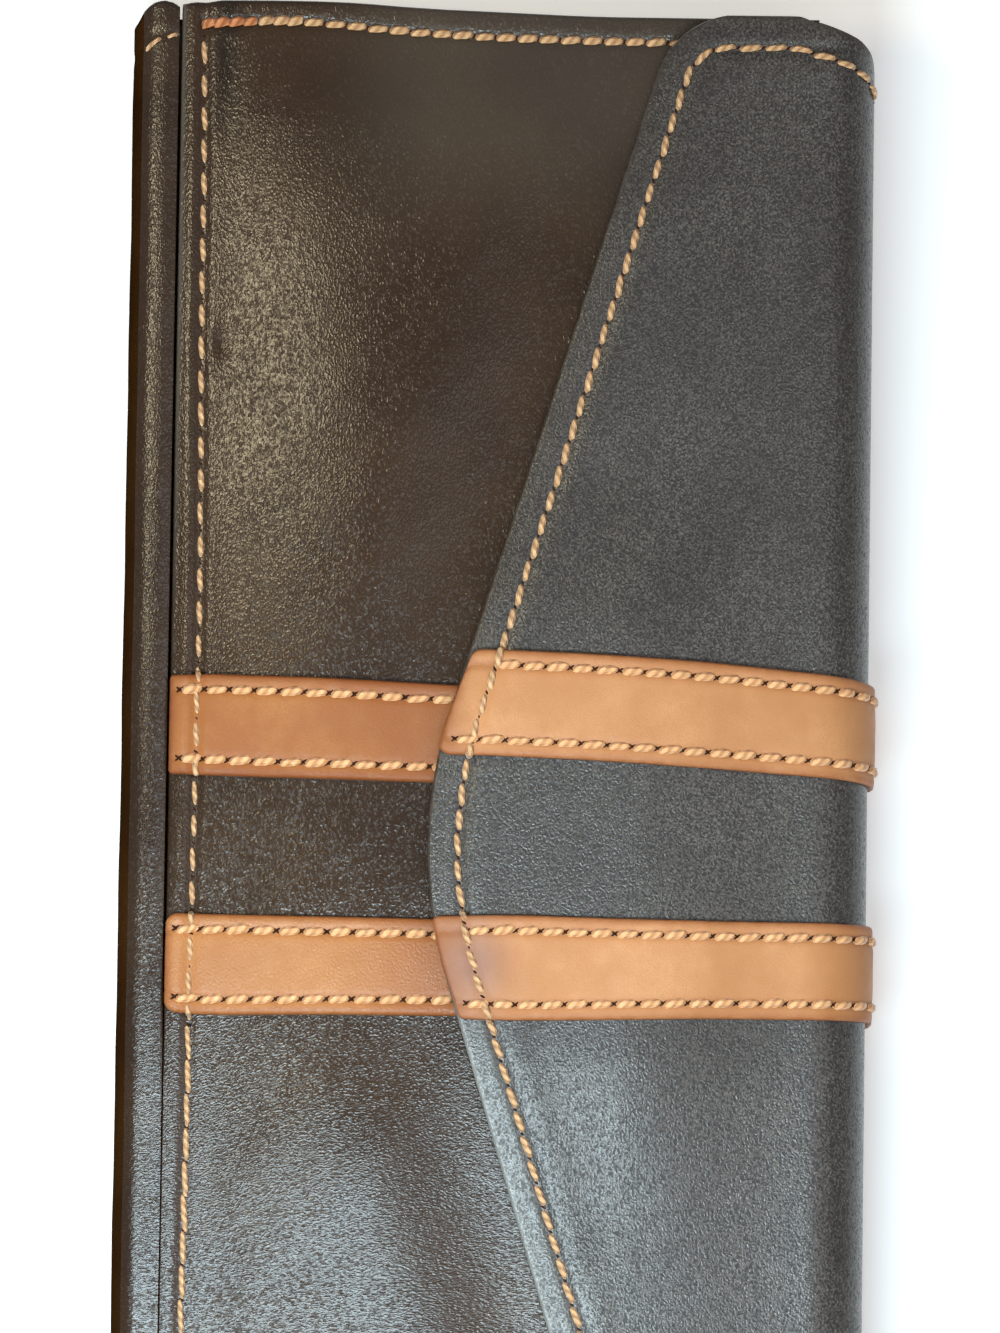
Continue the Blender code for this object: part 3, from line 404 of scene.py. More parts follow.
def back_half_length(s: Array) -> Array:
    """Half length of the back's skin: waisted at the turn, full on the back, drawn in at the rolled fold.

    Args:
        s: walked lengths on the back's path.

    Returns:
        Half lengths.
    """
    waist = through(turn_angle(BACK_PATH, s, SIZE.rear_z), TURN_WAIST)
    y, z = BACK_PATH.y_at(s), np.interp(s, BACK_PATH.s, BACK_PATH.z)
    full = smooth(SIZE.turn_y - y, 6.0)
    body = waist + (SIZE.half_length - waist) * full
    roll = np.interp(y, *np.array(ROLL_END).T)
    risen = smooth(z - SIZE.z_back - 1.0, 8.0) * (y < -39.0)
    return body + (roll - body) * risen


def front_relief(x: Array, y: Array) -> Array:
    """Height of the front skin over its flat level.

    Crown, a fuller puff between seam and flap, a raised strip by the groove, a pulled cheek and slow
    unevenness, less the dip into the groove, the pinch of each seam, a furrow, a nick and the rounded edge.

    Args:
        x: places along the wallet.
        y: places across it.

    Returns:
        Heights.
    """
    x, y = np.broadcast_arrays(x, y)
    open_side = smooth(flap_edge(x) - 1.5 - y, 17.0)
    ends = smooth(end_seam_x(y) - np.abs(x), 13.0)
    from_seam = y - long_seam_y(x)
    between_straps = 1.0 - 0.75 * (1.0 - smooth(np.abs(x) - 12.0, 30.0))
    puff = 1.15 * open_side * ends * (1.0 - bell(np.maximum(from_seam, 0.0), 9.0)) * between_straps
    tight = 1.0 - 0.85 * smooth(x + 10.0, 50.0)
    from_groove = y - SIZE.groove_y
    dip = SIZE.groove_depth * tight * (1.0 - smooth(from_groove, 2.6)) + rounding(from_groove, 0.38 * tight)
    from_end = end_seam_x(y) - np.abs(x)
    pinch = (0.13 + 0.25 * tight) * bell(from_seam, 0.75) + 0.30 * bell(from_end, 0.75) * (y > -38.5)
    strip = 0.16 * bell(from_seam + 1.7, 1.0)
    near_corner = smooth(-x - 84.0, 13.0) * smooth(101.8 + x, 3.0)
    furrow = 0.12 * bell(y - FURROW_Y, 1.6) * near_corner
    cheek = 0.10 * bell(y + 32.0 + 0.12 * (x + 95.0), 1.5) * near_corner
    nick = 0.28 * bell(np.hypot((x + 62.0) / 1.6, y - FURROW_Y), 1.0)
    uneven = 0.10 * wander(1.3, x, y, 31.0) * smooth(from_seam, 6.0) * ends
    border = np.minimum(front_half(y) - np.abs(x), SIZE.front_edge - y)
    return crown(x, y) + puff + strip + cheek + uneven - dip - pinch - furrow - nick - rounding(border, 0.45)


def flap_margin(x: Array, y: Array) -> Array:
    """Distance from the flap's outline, the same beside its slants and its ends.

    d = (a^-4 + b^-4)^(-1/4), with a the distance from the cut edge and b that from the end.

    Args:
        x: places along the wallet.
        y: places across it.

    Returns:
        Distances.
    """
    from_edge = np.maximum((y - flap_edge(x)) * SIZE.slant_cos, 1e-3)
    from_end = np.maximum((SIZE.flap_half - np.abs(x)) * SIZE.edge_margin / 4.1, 1e-3)
    return (from_edge ** -4.0 + from_end ** -4.0) ** -0.25


def flap_relief(x: Array, y: Array) -> Array:
    """Height of the flap's skin over its path.

    Crown and ride of what lies under it, a slight pillow inside the seam and slow unevenness, less the
    drop of its sewn margin, the pinch of its seam, one shallow hollow and the rounded cut edge.

    Args:
        x: places along the wallet.
        y: places across it.

    Returns:
        Heights.
    """
    x, y = np.broadcast_arrays(x, y)
    inside = flap_margin(x, y)
    fade = smooth(SIZE.y_turn + 2.0 - y, 8.0)
    pinch = 0.30 * bell(inside - SIZE.edge_margin, 0.7) * fade
    drop = 0.34 * (1.0 - smooth(inside, SIZE.edge_margin + 1.2)) * fade
    pillow = 0.14 * bell(inside - SIZE.edge_margin - 2.6, 1.7) * fade
    uneven = 0.07 * wander(4.1, x, y, 37.0) * smooth(inside - 4.0, 8.0) * fade
    dent = 0.16 * bell(np.hypot((x + 52.0) / 26.0, (y - 24.0) / 12.0), 1.0)
    border = np.minimum((y - flap_edge(x)) * SIZE.slant_cos, SIZE.flap_half - np.abs(x))
    return crown(x, y) + strap_ride(x, y) + pillow + uneven - pinch - drop - dent - rounding(border, 0.42)


def back_relief(x: Array, s: Array) -> Array:
    """Height of the back's skin over its path.

    Slow unevenness, less the pinches at its end seams, the sunken lip by the groove and its rounded ends.

    Args:
        x: places along the wallet.
        s: walked lengths.

    Returns:
        Heights.
    """
    x, s = np.broadcast_arrays(x, s)
    from_end = back_half_length(s) - np.abs(x)
    y = BACK_PATH.y_at(s)
    flat = smooth(SIZE.turn_y - y, 4.0) * smooth(y - SIZE.y_fold - 5.0, 4.0)
    pinch = 0.16 * bell(from_end - SIZE.end_margin, 0.7) * flat
    lobe = np.interp(s, BACK_PATH.s, BACK_PATH.z) > SIZE.rear_z
    sewn = 0.1 * bell(from_end - 4.1, 0.6) * lobe
    uneven = 0.06 * wander(2.2, x, s, 23.0) * (smooth(from_end, 8.0) * lobe)
    lip = BACK_PATH.length - 1.6
    sunk = (0.2 * smooth(s - (lip - 1.8), 1.8) + rounding(lip - s, 0.45)) * (1.0 - smooth(x + 10.0, 50.0))
    return uneven - sunk - pinch * 0.5 - sewn - rounding(from_end, 0.4)


# Meshes

def put_mesh(name: str, points: Array, faces: Sequence[Array], slots: Sequence[int]) -> bpy.types.Object:
    """Put points in millimetres and face index arrays into a new object at the origin.

    Args:
        name: the piece's name.
        points: vertices with a last axis of three.
        faces: integer arrays, each of one face size.
        slots: material index of each of these arrays.

    Returns:
        The object, smooth but for edges sharper than 42 degrees.
    """
    mesh = bpy.data.meshes.new(name)
    flat = np.asarray(points, float).reshape(-1, 3) * MM
    loops = np.concatenate([f.reshape(-1) for f in faces])
    sizes = np.concatenate([np.full(len(f), f.shape[1]) for f in faces])
    mesh.vertices.add(len(flat))
    mesh.vertices.foreach_set("co", flat.astype(np.float32).reshape(-1))
    mesh.loops.add(len(loops))
    mesh.loops.foreach_set("vertex_index", loops.astype(np.int32))
    mesh.polygons.add(len(sizes))
    mesh.polygons.foreach_set("loop_start", (np.cumsum(sizes) - sizes).astype(np.int32))
    mesh.polygons.foreach_set("loop_total", sizes.astype(np.int32))
    which = np.concatenate([np.full(len(f), slot) for f, slot in zip(faces, slots)])
    mesh.polygons.foreach_set("material_index", which.astype(np.int32))
    mesh.update(calc_edges=True)
    mesh.validate()
    mesh.shade_smooth()
    mesh.set_sharp_from_angle(angle=np.radians(42.0))
    obj = bpy.data.objects.new(name, mesh)
    bpy.context.scene.collection.objects.link(obj)
    return obj


def shell(name: str, outer: Array, inner: Array) -> bpy.types.Object:
    """Closed sheet between two grids of the same shape, its rim in material slot 1.

    Args:
        name: the piece's name.
        outer: grid of outer points (rows, columns, 3); rows x columns turn outwards.
        inner: grid of inner points.

    Returns:
        The new object.
    """
    rows, columns = outer.shape[:2]
    index = np.arange(rows * columns).reshape(rows, columns)
    a, b, c, d = index[:-1, :-1], index[1:, :-1], index[1:, 1:], index[:-1, 1:]
    top = np.stack([a, b, c, d], -1).reshape(-1, 4)
    bottom = np.stack([a, d, c, b], -1).reshape(-1, 4) + index.size
    loop = np.concatenate([index[:-1, 0], index[-1, :-1], index[:0:-1, -1], index[0, :0:-1]])
    after = np.roll(loop, -1)
    rim = np.stack([after, loop, loop + index.size, after + index.size], -1)
    points = np.concatenate([outer.reshape(-1, 3), inner.reshape(-1, 3)])
    return put_mesh(name, points, [top, bottom, rim], [0, 0, 1])


def mark(obj: bpy.types.Object, **values: Array) -> bpy.types.Object:
    """Store per-point values on a shell, the same for its outer and its inner grid.

    Args:
        obj: the shell.
        values: a grid of values for each attribute name.

    Returns:
        The same object.
    """
    for name, value in values.items():
        layer = obj.data.attributes.new(name, "FLOAT", "POINT")
        both = np.tile(np.asarray(value, np.float32).reshape(-1), 2)
        layer.data.foreach_set("value", both[: len(obj.data.vertices)])
    return obj


def bend_rear(obj: bpy.types.Object) -> None:
    """For pieces at the rear corner of the turn: bake the placement into the mesh."""
    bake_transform(obj)


def bend_front(obj: bpy.types.Object) -> None:
    """For pieces at the front corner of the turn: bake the placement into the mesh."""
    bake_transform(obj)


# Node building

Socket = bpy.types.NodeSocket
Colour = tuple[float, float, float]
FULL_TURN = 6.28318


def linear(colour: Colour) -> tuple[float, float, float, float]:
    """Scene-linear colour of an 8-bit display colour.

    Args:
        colour: red, green and blue from 0 to 255.

    Returns:
        Linear red, green and blue, and 1.
    """
    share = np.array(colour, float) / 255.0
    value = np.where(share <= 0.04045, share / 12.92, ((share + 0.055) / 1.055) ** 2.4)
    return (*[float(v) for v in value], 1.0)


class Bench:
    """Lays nodes in one tree; numbers and sockets are taken alike."""

    def __init__(self, tree: bpy.types.NodeTree) -> None:
        """Work on this tree."""
        self.tree = tree

    def add(self, kind: str, **settings: object) -> bpy.types.Node:
        """Add a node and set its own properties.

        Args:
            kind: the node's type.
            settings: values of its own properties.

        Returns:
            The node.
        """
        node = self.tree.nodes.new(kind)
        for name, value in settings.items():
            setattr(node, name, value)
        return node

    def feed(self, socket: Socket, value: object) -> None:
        """Link a socket to another, or set its own value.

        Args:
            socket: the input.
            value: a socket to link from, or the value to set.
        """
        if isinstance(value, bpy.types.NodeSocket):
            self.tree.links.new(value, socket)
        else:
            socket.default_value = value

    def math(self, operation: str, *values: object, clamp: bool = False) -> Socket:
        """One Math node.

        Args:
            operation: what it does.
            values: its inputs in order.
            clamp: hold the result from 0 to 1.

        Returns:
            The result.
        """
        node = self.add("ShaderNodeMath", operation=operation, use_clamp=clamp)
        for socket, value in zip(node.inputs, values):
            self.feed(socket, value)
        return node.outputs[0]

    def scaled(self, vector: Socket, factors: tuple[float, float, float]) -> Socket:
        """A vector times three factors.

        Args:
            vector: the vector.
            factors: one factor for each axis.

        Returns:
            The scaled vector.
        """
        node = self.add("ShaderNodeVectorMath", operation="MULTIPLY")
        self.feed(node.inputs[0], vector)
        self.feed(node.inputs[1], factors)
        return node.outputs[0]

    def added(self, first: Socket, second: object) -> Socket:
        """Sum of two vectors.

        Args:
            first: a vector.
            second: another, or three numbers.

        Returns:
            Their sum.
        """
        node = self.add("ShaderNodeVectorMath", operation="ADD")
        self.feed(node.inputs[0], first)
        self.feed(node.inputs[1], second)
        return node.outputs[0]

    def noise(self, vector: Socket, scale: object, detail: float = 2.0,
              rough: float = 0.5) -> bpy.types.Node:
        """A noise node in three dimensions.

        Args:
            vector: places.
            scale: its cells in a unit.
            detail: its octaves.
            rough: share of each finer octave.

        Returns:
            The node.
        """
        node = self.add("ShaderNodeTexNoise", noise_dimensions="3D")
        for name, value in (("Vector", vector), ("Scale", scale), ("Detail", detail), ("Roughness", rough)):
            self.feed(node.inputs[name], value)
        return node

    def cells(self, vector: Socket, scale: object, feature: str) -> Socket:
        """Distance of a cell pattern in three dimensions.

        Args:
            vector: places.
            scale: cells in a unit.
            feature: which distance.

        Returns:
            The distance.
        """
        node = self.add("ShaderNodeTexVoronoi", voronoi_dimensions="3D", feature=feature)
        self.feed(node.inputs["Vector"], vector)
        self.feed(node.inputs["Scale"], scale)
        return node.outputs["Distance"]

    def span(self, value: Socket, low: object, high: object, to_low: object = 0.0,
             to_high: object = 1.0) -> Socket:
        """Map a range to another, smooth and held at both ends.

        Args:
            value: what is mapped.
            low: start of its range.
            high: end of its range.
            to_low: result at the start.
            to_high: result at the end.

        Returns:
            The mapped value.
        """
        node = self.add("ShaderNodeMapRange", interpolation_type="SMOOTHSTEP")
        for socket, item in zip(node.inputs, (value, low, high, to_low, to_high)):
            self.feed(socket, item)
        return node.outputs[0]

    def blend(self, share: object, first: object, second: object, mode: str = "MIX") -> Socket:
        """Mix two colours.

        Args:
            share: 0 for the first and 1 for the second.
            first: a colour.
            second: another.
            mode: how they mix.

        Returns:
            The mixed colour.
        """
        node = self.add("ShaderNodeMix", data_type="RGBA", blend_type=mode)
        self.feed(node.inputs["Factor"], share)
        self.feed(node.inputs[6], first)
        self.feed(node.inputs[7], second)
        return node.outputs[2]

    def lerp(self, share: object, first: object, second: object) -> Socket:
        """Mix two numbers.

        Args:
            share: 0 for the first and 1 for the second.
            first: a number.
            second: another.

        Returns:
            The number between them.
        """
        node = self.add("ShaderNodeMix", data_type="FLOAT")
        self.feed(node.inputs["Factor"], share)
        self.feed(node.inputs[2], first)
        self.feed(node.inputs[3], second)
        return node.outputs[0]

    def attribute(self, name: str) -> Socket:
        """Number stored on the mesh."""
        return self.add("ShaderNodeAttribute", attribute_name=name).outputs["Fac"]

    def place(self) -> Socket:
        """Object coordinates in millimetres."""
        return self.scaled(self.add("ShaderNodeTexCoord").outputs["Object"], (1000.0, 1000.0, 1000.0))

    def seen(self) -> Socket:
        """1 for camera, glossy and transmitted rays, and 0 for the others.

        Returns:
            The mask.
        """
        light = self.add("ShaderNodeLightPath")
        either = self.math("MAXIMUM", light.outputs["Is Camera Ray"], light.outputs["Is Transmission Ray"])
        return self.math("MAXIMUM", either, light.outputs["Is Glossy Ray"])

    def use(self, group: bpy.types.NodeTree, **values: object) -> bpy.types.Node:
        """Place a group and feed its inputs.

        Args:
            group: the group.
            values: its inputs by name.

        Returns:
            The group's node.
        """
        node = self.add("ShaderNodeGroup", node_tree=group)
        for name, value in values.items():
            self.feed(node.inputs[name], value)
        return node


GroupParts = tuple[bpy.types.NodeTree, Bench, bpy.types.Node, bpy.types.Node]


def new_group(name: str, inputs: dict[str, tuple[str, object]], outputs: Sequence[str]) -> GroupParts:
    """Start a shader node group with named sockets.

    Args:
        name: group's name.
        inputs: socket name to (type ending, default).
        outputs: names of its float outputs.

    Returns:
        The group, a bench on it, its input node and its output node.
    """
    tree = bpy.data.node_groups.new(name, "ShaderNodeTree")
    for label, (kind, default) in inputs.items():
        socket = tree.interface.new_socket(label, in_out="INPUT", socket_type=f"NodeSocket{kind}")
        if default is not None:
            socket.default_value = default
    for label in outputs:
        tree.interface.new_socket(label, in_out="OUTPUT", socket_type="NodeSocketFloat")
    bench = Bench(tree)
    return tree, bench, bench.add("NodeGroupInput"), bench.add("NodeGroupOutput")


def make_grain() -> bpy.types.NodeTree:
    """Leather grain: pebbles parted by creases, mixed with worm-like ridges and fine pores.

    Returns:
        The node group.
    """
    tree, bench, source, sink = new_group(
        "leather_grain",
        {"Place": ("Vector", None), "Cell": ("Float", 0.5), "Worm": ("Float", 0.3), "Fine": ("Float", 0.3)},
        ("Height", "Crease"),
    )
    place, per_mm = source.outputs["Place"], bench.math("DIVIDE", 1.0, source.outputs["Cell"])
    drift = bench.noise(place, bench.math("MULTIPLY", per_mm, 0.7), 1.0)
    scaled = bench.add("ShaderNodeVectorMath", operation="SCALE")
    bench.feed(scaled.inputs[0], bench.added(drift.outputs["Color"], (-0.5, -0.5, -0.5)))
    bench.feed(scaled.inputs["Scale"], bench.math("MULTIPLY", source.outputs["Cell"], 0.7))
    gap = bench.cells(bench.added(place, scaled.outputs[0]), per_mm, "DISTANCE_TO_EDGE")
    pebble = bench.span(gap, 0.0, 0.42)
    worm = bench.noise(place, bench.math("MULTIPLY", per_mm, 0.9), 1.5, 0.5).outputs[0]
    ridge = bench.math("ABSOLUTE", bench.math("MULTIPLY_ADD", worm, 2.0, -1.0))
    ridge = bench.math("SUBTRACT", 1.0, bench.math("MULTIPLY", ridge, 2.2), clamp=True)
    height = bench.lerp(source.outputs["Worm"], pebble, ridge)
    fine = bench.noise(place, bench.math("MULTIPLY", per_mm, 2.6), 1.0).outputs[0]
    bench.feed(sink.inputs["Height"], bench.math("MULTIPLY_ADD", fine, source.outputs["Fine"], height))
    bench.feed(sink.inputs["Crease"], bench.span(gap, 0.0, 0.16, 1.0, 0.0))
    return tree


def make_mottle() -> bpy.types.NodeTree:
    """Slow uneven tone of a dyed hide: two noises of different size, from 0 to 1.

    Returns:
        The node group.
    """
    tree, bench, source, sink = new_group(
        "hide_mottle", {"Place": ("Vector", None), "Size": ("Float", 18.0)}, ("Broad", "Small"),
    )
    per_mm = bench.math("DIVIDE", 1.0, source.outputs["Size"])
    broad = bench.noise(source.outputs["Place"], per_mm, 3.0, 0.55).outputs[0]
    small = bench.noise(source.outputs["Place"], bench.math("MULTIPLY", per_mm, 7.0), 4.0, 0.6).outputs[0]
    bench.feed(sink.inputs["Broad"], bench.span(broad, 0.32, 0.68))
    bench.feed(sink.inputs["Small"], bench.span(small, 0.3, 0.7))
    return tree


def make_wear() -> bpy.types.NodeTree:
    """Rubbed and burnished borders from the distance to the edge, broken up by noise.

    Returns:
        The node group.
    """
    tree, bench, source, sink = new_group(
        "edge_wear", {"Place": ("Vector", None), "Distance": ("Float", 5.0), "Reach": ("Float", 1.0)},
        ("Rub", "Burnish"),
    )
    near = bench.math("DIVIDE", source.outputs["Distance"], source.outputs["Reach"])
    patch = bench.noise(source.outputs["Place"], 0.55, 4.0, 0.65).outputs[0]
    edge = bench.span(near, 0.0, 0.55, 1.0, 0.0)
    bench.feed(sink.inputs["Rub"], bench.math("MULTIPLY", edge, bench.span(patch, 0.42, 0.62)))
    broken = bench.math("ADD", near, bench.math("MULTIPLY", patch, 0.5))
    bench.feed(sink.inputs["Burnish"], bench.span(broken, 0.2, 1.4, 1.0, 0.0))
    return tree


def make_twist() -> bpy.types.NodeTree:
    """Two plies twisted round each other, from the stitch's own length and turn coordinates.

    Returns:
        The node group.
    """
    tree, bench, source, sink = new_group(
        "thread_twist", {"Along": ("Vector", None), "Lay": ("Float", 1.2)}, ("Height", "PlyShading"),
    )
    split = bench.add("ShaderNodeSeparateXYZ")
    bench.feed(split.inputs[0], source.outputs["Along"])
    turns = bench.math("ADD", bench.math("DIVIDE", split.outputs[0], source.outputs["Lay"]),
                       bench.math("MULTIPLY", split.outputs[1], 2.0))
    wave = bench.math("SINE", bench.math("MULTIPLY", turns, FULL_TURN))
    hair = bench.noise(source.outputs["Along"], 9.0, 3.0, 0.7).outputs[0]
    height = bench.math("ADD", bench.math("MULTIPLY", wave, 0.5), bench.math("MULTIPLY", hair, 0.5))
    bench.feed(sink.inputs["Height"], height)
    # Darker in the grooves between the plies: painted shade.
    bench.feed(sink.inputs["PlyShading"], bench.span(wave, -0.9, 0.4))
    return tree


def make_weave() -> bpy.types.NodeTree:
    """Plain weave: the product of two rows of sines across each other.

    Returns:
        The node group.
    """
    tree, bench, source, sink = new_group(
        "plain_weave", {"Place": ("Vector", None), "Pitch": ("Float", 0.4)}, ("Height",),
    )
    split = bench.add("ShaderNodeSeparateXYZ")
    bench.feed(split.inputs[0], source.outputs["Place"])
    counts = [bench.math("DIVIDE", split.outputs[axis], source.outputs["Pitch"]) for axis in (0, 1, 2)]
    turns = [bench.math("MULTIPLY", count, FULL_TURN) for count in counts]
    across = bench.math("SINE", bench.math("ADD", turns[1], turns[2]))
    bench.feed(sink.inputs["Height"], bench.math("MULTIPLY", bench.math("SINE", turns[0]), across))
    return tree


@dataclass(frozen=True)
class NodeGroups:
    """Effects shared by the finishes, each built once."""

    grain: bpy.types.NodeTree = field(default_factory=make_grain)
    mottle: bpy.types.NodeTree = field(default_factory=make_mottle)
    wear: bpy.types.NodeTree = field(default_factory=make_wear)
    twist: bpy.types.NodeTree = field(default_factory=make_twist)
    weave: bpy.types.NodeTree = field(default_factory=make_weave)


GROUPS = NodeGroups()


def start_material(name: str) -> tuple[bpy.types.Material, Bench, bpy.types.Node]:
    """A new node material with its bench and its Principled shader.

    Args:
        name: its name.

    Returns:
        Material, bench and shader.
    """
    material = bpy.data.materials.new(name)
    material.use_nodes = True
    return material, Bench(material.node_tree), material.node_tree.nodes["Principled BSDF"]


def add_bump(bench: Bench, shader: bpy.types.Node, height: Socket, depth_mm: float) -> None:
    """Drive the shader's normal by a height, depth_mm deep.

    Args:
        bench: bench of the material.
        shader: its shader.
        height: the height.
        depth_mm: how deep it is.
    """
    bump = bench.add("ShaderNodeBump")
    bump.inputs["Strength"].default_value = 1.0
    bump.inputs["Distance"].default_value = depth_mm * MM
    bench.feed(bump.inputs["Height"], height)
    bench.feed(shader.inputs["Normal"], bump.outputs[0])


@dataclass(frozen=True)
class LeatherFinish:
    """Dyed, lightly waxed leather with a pebbled grain.

    In the grain's low parts hollow adds roughness, and the furrow colour is mixed in there as painted shade;
    the grain's creases are darkened as painted shade too. Each mark is a stored value that mixes in its
    colour, and the first one also scales the coat.
    """

    name: str
    dark: Colour
    light: Colour
    tint: Colour
    edge: Colour
    rough: tuple[float, float]
    cell: float = 0.5
    stretch: tuple[float, float] = (1.0, 1.0)
    far_stretch: tuple[float, float] | None = None
    depth: float = 0.06
    worm: float = 0.3
    fine: float = 0.3
    rub: float = 0.5
    reach: float = 1.0
    coat: float = 0.0
    specular: float = 0.3
    hollow: float = 0.1
    hollow_shade: float = 0.0
    # Colour of the painted shade in the grain's low parts.
    furrow: Colour = (30, 24, 20)
    marks: tuple[tuple[str, Colour], ...] = ()

    def make(self) -> bpy.types.Material:
        """Build the material.

        Returns:
            Material whose tone, roughness and normal follow grain, mottle and worn borders.
        """
        material, bench, shader = start_material(self.name)
        place = bench.place()
        mottle = bench.use(GROUPS.mottle, Place=place, Size=16.0)
        wear = bench.use(GROUPS.wear, Place=place, Distance=bench.attribute("edge"), Reach=self.reach)
        drawn = self._draw(bench, place)
        grain = bench.use(GROUPS.grain, Place=drawn, Cell=self.cell, Worm=self.worm, Fine=self.fine)
        tone = bench.blend(mottle.outputs["Broad"], linear(self.dark), linear(self.light))
        tone = bench.blend(bench.math("MULTIPLY", mottle.outputs["Small"], 0.35), tone, linear(self.tint))
        low = bench.span(grain.outputs["Height"], 0.1, 0.75, 1.0, 0.0)
        # Painted shade: the grain's creases darkened towards the dark tone.
        tone = bench.blend(bench.math("MULTIPLY", grain.outputs["Crease"], 0.45), tone, linear(self.dark))
        # Painted shade: the grain's low parts take the furrow colour.
        dent = bench.span(grain.outputs["Height"], 0.5, 1.1, self.hollow_shade, 0.0)
        tone = bench.blend(dent, tone, linear(self.furrow))
        tone = bench.blend(bench.math("MULTIPLY", wear.outputs["Burnish"], 0.8), tone, linear(self.edge))
        tone = bench.blend(bench.math("MULTIPLY", wear.outputs["Rub"], self.rub), tone, linear(self.light))
        for mark_name, colour in self.marks:
            tone = bench.blend(bench.attribute(mark_name), tone, linear(colour))
        bench.feed(shader.inputs["Base Color"], tone)
        rough = bench.lerp(mottle.outputs["Small"], self.rough[0], self.rough[1])
        bench.feed(shader.inputs["Roughness"], bench.math("MULTIPLY_ADD", low, self.hollow, rough))
        shader.inputs["Specular IOR Level"].default_value = self.specular
        if self.coat:
            coated = bench.attribute(self.marks[0][0])
            bench.feed(shader.inputs["Coat Weight"], bench.math("MULTIPLY", coated, self.coat))
            shader.inputs["Coat Roughness"].default_value = 0.4
        add_bump(bench, shader, grain.outputs["Height"], self.depth)
        return material

    def _draw(self, bench: Bench, place: Socket) -> Socket:
        """Places drawn out along X and Y, changing from the head to the foot where far_stretch is given.

        Args:
            bench: bench of the material.
            place: places in millimetres.

        Returns:
            Places that stretch the grain.
        """
        near = bench.scaled(place, (1.0 / self.stretch[0], 1.0 / self.stretch[1], 1.0))
        if self.far_stretch is None:
            return near
        far = bench.scaled(place, (1.0 / self.far_stretch[0], 1.0 / self.far_stretch[1], 1.0))
        split = bench.add("ShaderNodeSeparateXYZ")
        bench.feed(split.inputs[0], place)
        mix = bench.add("ShaderNodeMix", data_type="VECTOR")
        bench.feed(mix.inputs["Factor"], bench.span(split.outputs[0], -10.0, 70.0))
        bench.feed(mix.inputs[4], near)
        bench.feed(mix.inputs[5], far)
        return mix.outputs[1]


@dataclass(frozen=True)
class ThreadFinish:
    """Waxed two-ply sewing thread."""

    name: str
    dark: Colour
    light: Colour
    lay: float = 1.2

    def make(self) -> bpy.types.Material:
        """Build the material; its twist follows the stitch's own UV map.

        Returns:
            The material.
        """
        material, bench, shader = start_material(self.name)
        along = bench.add("ShaderNodeUVMap", uv_map="stitch").outputs[0]
        twist = bench.use(GROUPS.twist, Along=along, Lay=self.lay)
        mottle = bench.use(GROUPS.mottle, Place=bench.place(), Size=7.0)
        # Dark to light across the twist: painted shade in the ply grooves.
        tone = bench.blend(twist.outputs["PlyShading"], linear(self.dark), linear(self.light))
        tone = bench.blend(bench.math("MULTIPLY", mottle.outputs["Small"], 0.4), tone, linear(self.dark))
        bench.feed(shader.inputs["Base Color"], tone)
        bench.feed(shader.inputs["Roughness"], bench.lerp(mottle.outputs["Small"], 0.5, 0.66))
        shader.inputs["Sheen Weight"].default_value = 0.25
        add_bump(bench, shader, twist.outputs["Height"], 0.09)
        return material


@dataclass(frozen=True)
class PlainFinish:
    """Board, felt, tape, cut edge, needle hole or metal: a tone broken by noise, with a fine surface."""

    name: str
    dark: Colour
    light: Colour
    rough: tuple[float, float]
    size: float = 1.2
    depth: float = 0.05
    woven: float = 0.0
    metallic: float = 0.0

    def make(self) -> bpy.types.Material:
        """Build the material.

        Returns:
            The material.
        """
        material, bench, shader = start_material(self.name)
        place = bench.place()
        mottle = bench.use(GROUPS.mottle, Place=place, Size=self.size * 6.0)
        fine = bench.noise(place, 1.0 / self.size, 5.0, 0.65).outputs[0]
        height = bench.use(GROUPS.weave, Place=place, Pitch=self.woven).outputs[0] if self.woven else fine
        tone = bench.blend(mottle.outputs["Small"], linear(self.dark), linear(self.light))
        bench.feed(shader.inputs["Base Color"], tone)
        bench.feed(shader.inputs["Roughness"], bench.lerp(fine, self.rough[0], self.rough[1]))
        shader.inputs["Metallic"].default_value = self.metallic
        add_bump(bench, shader, height, self.depth)
        return material


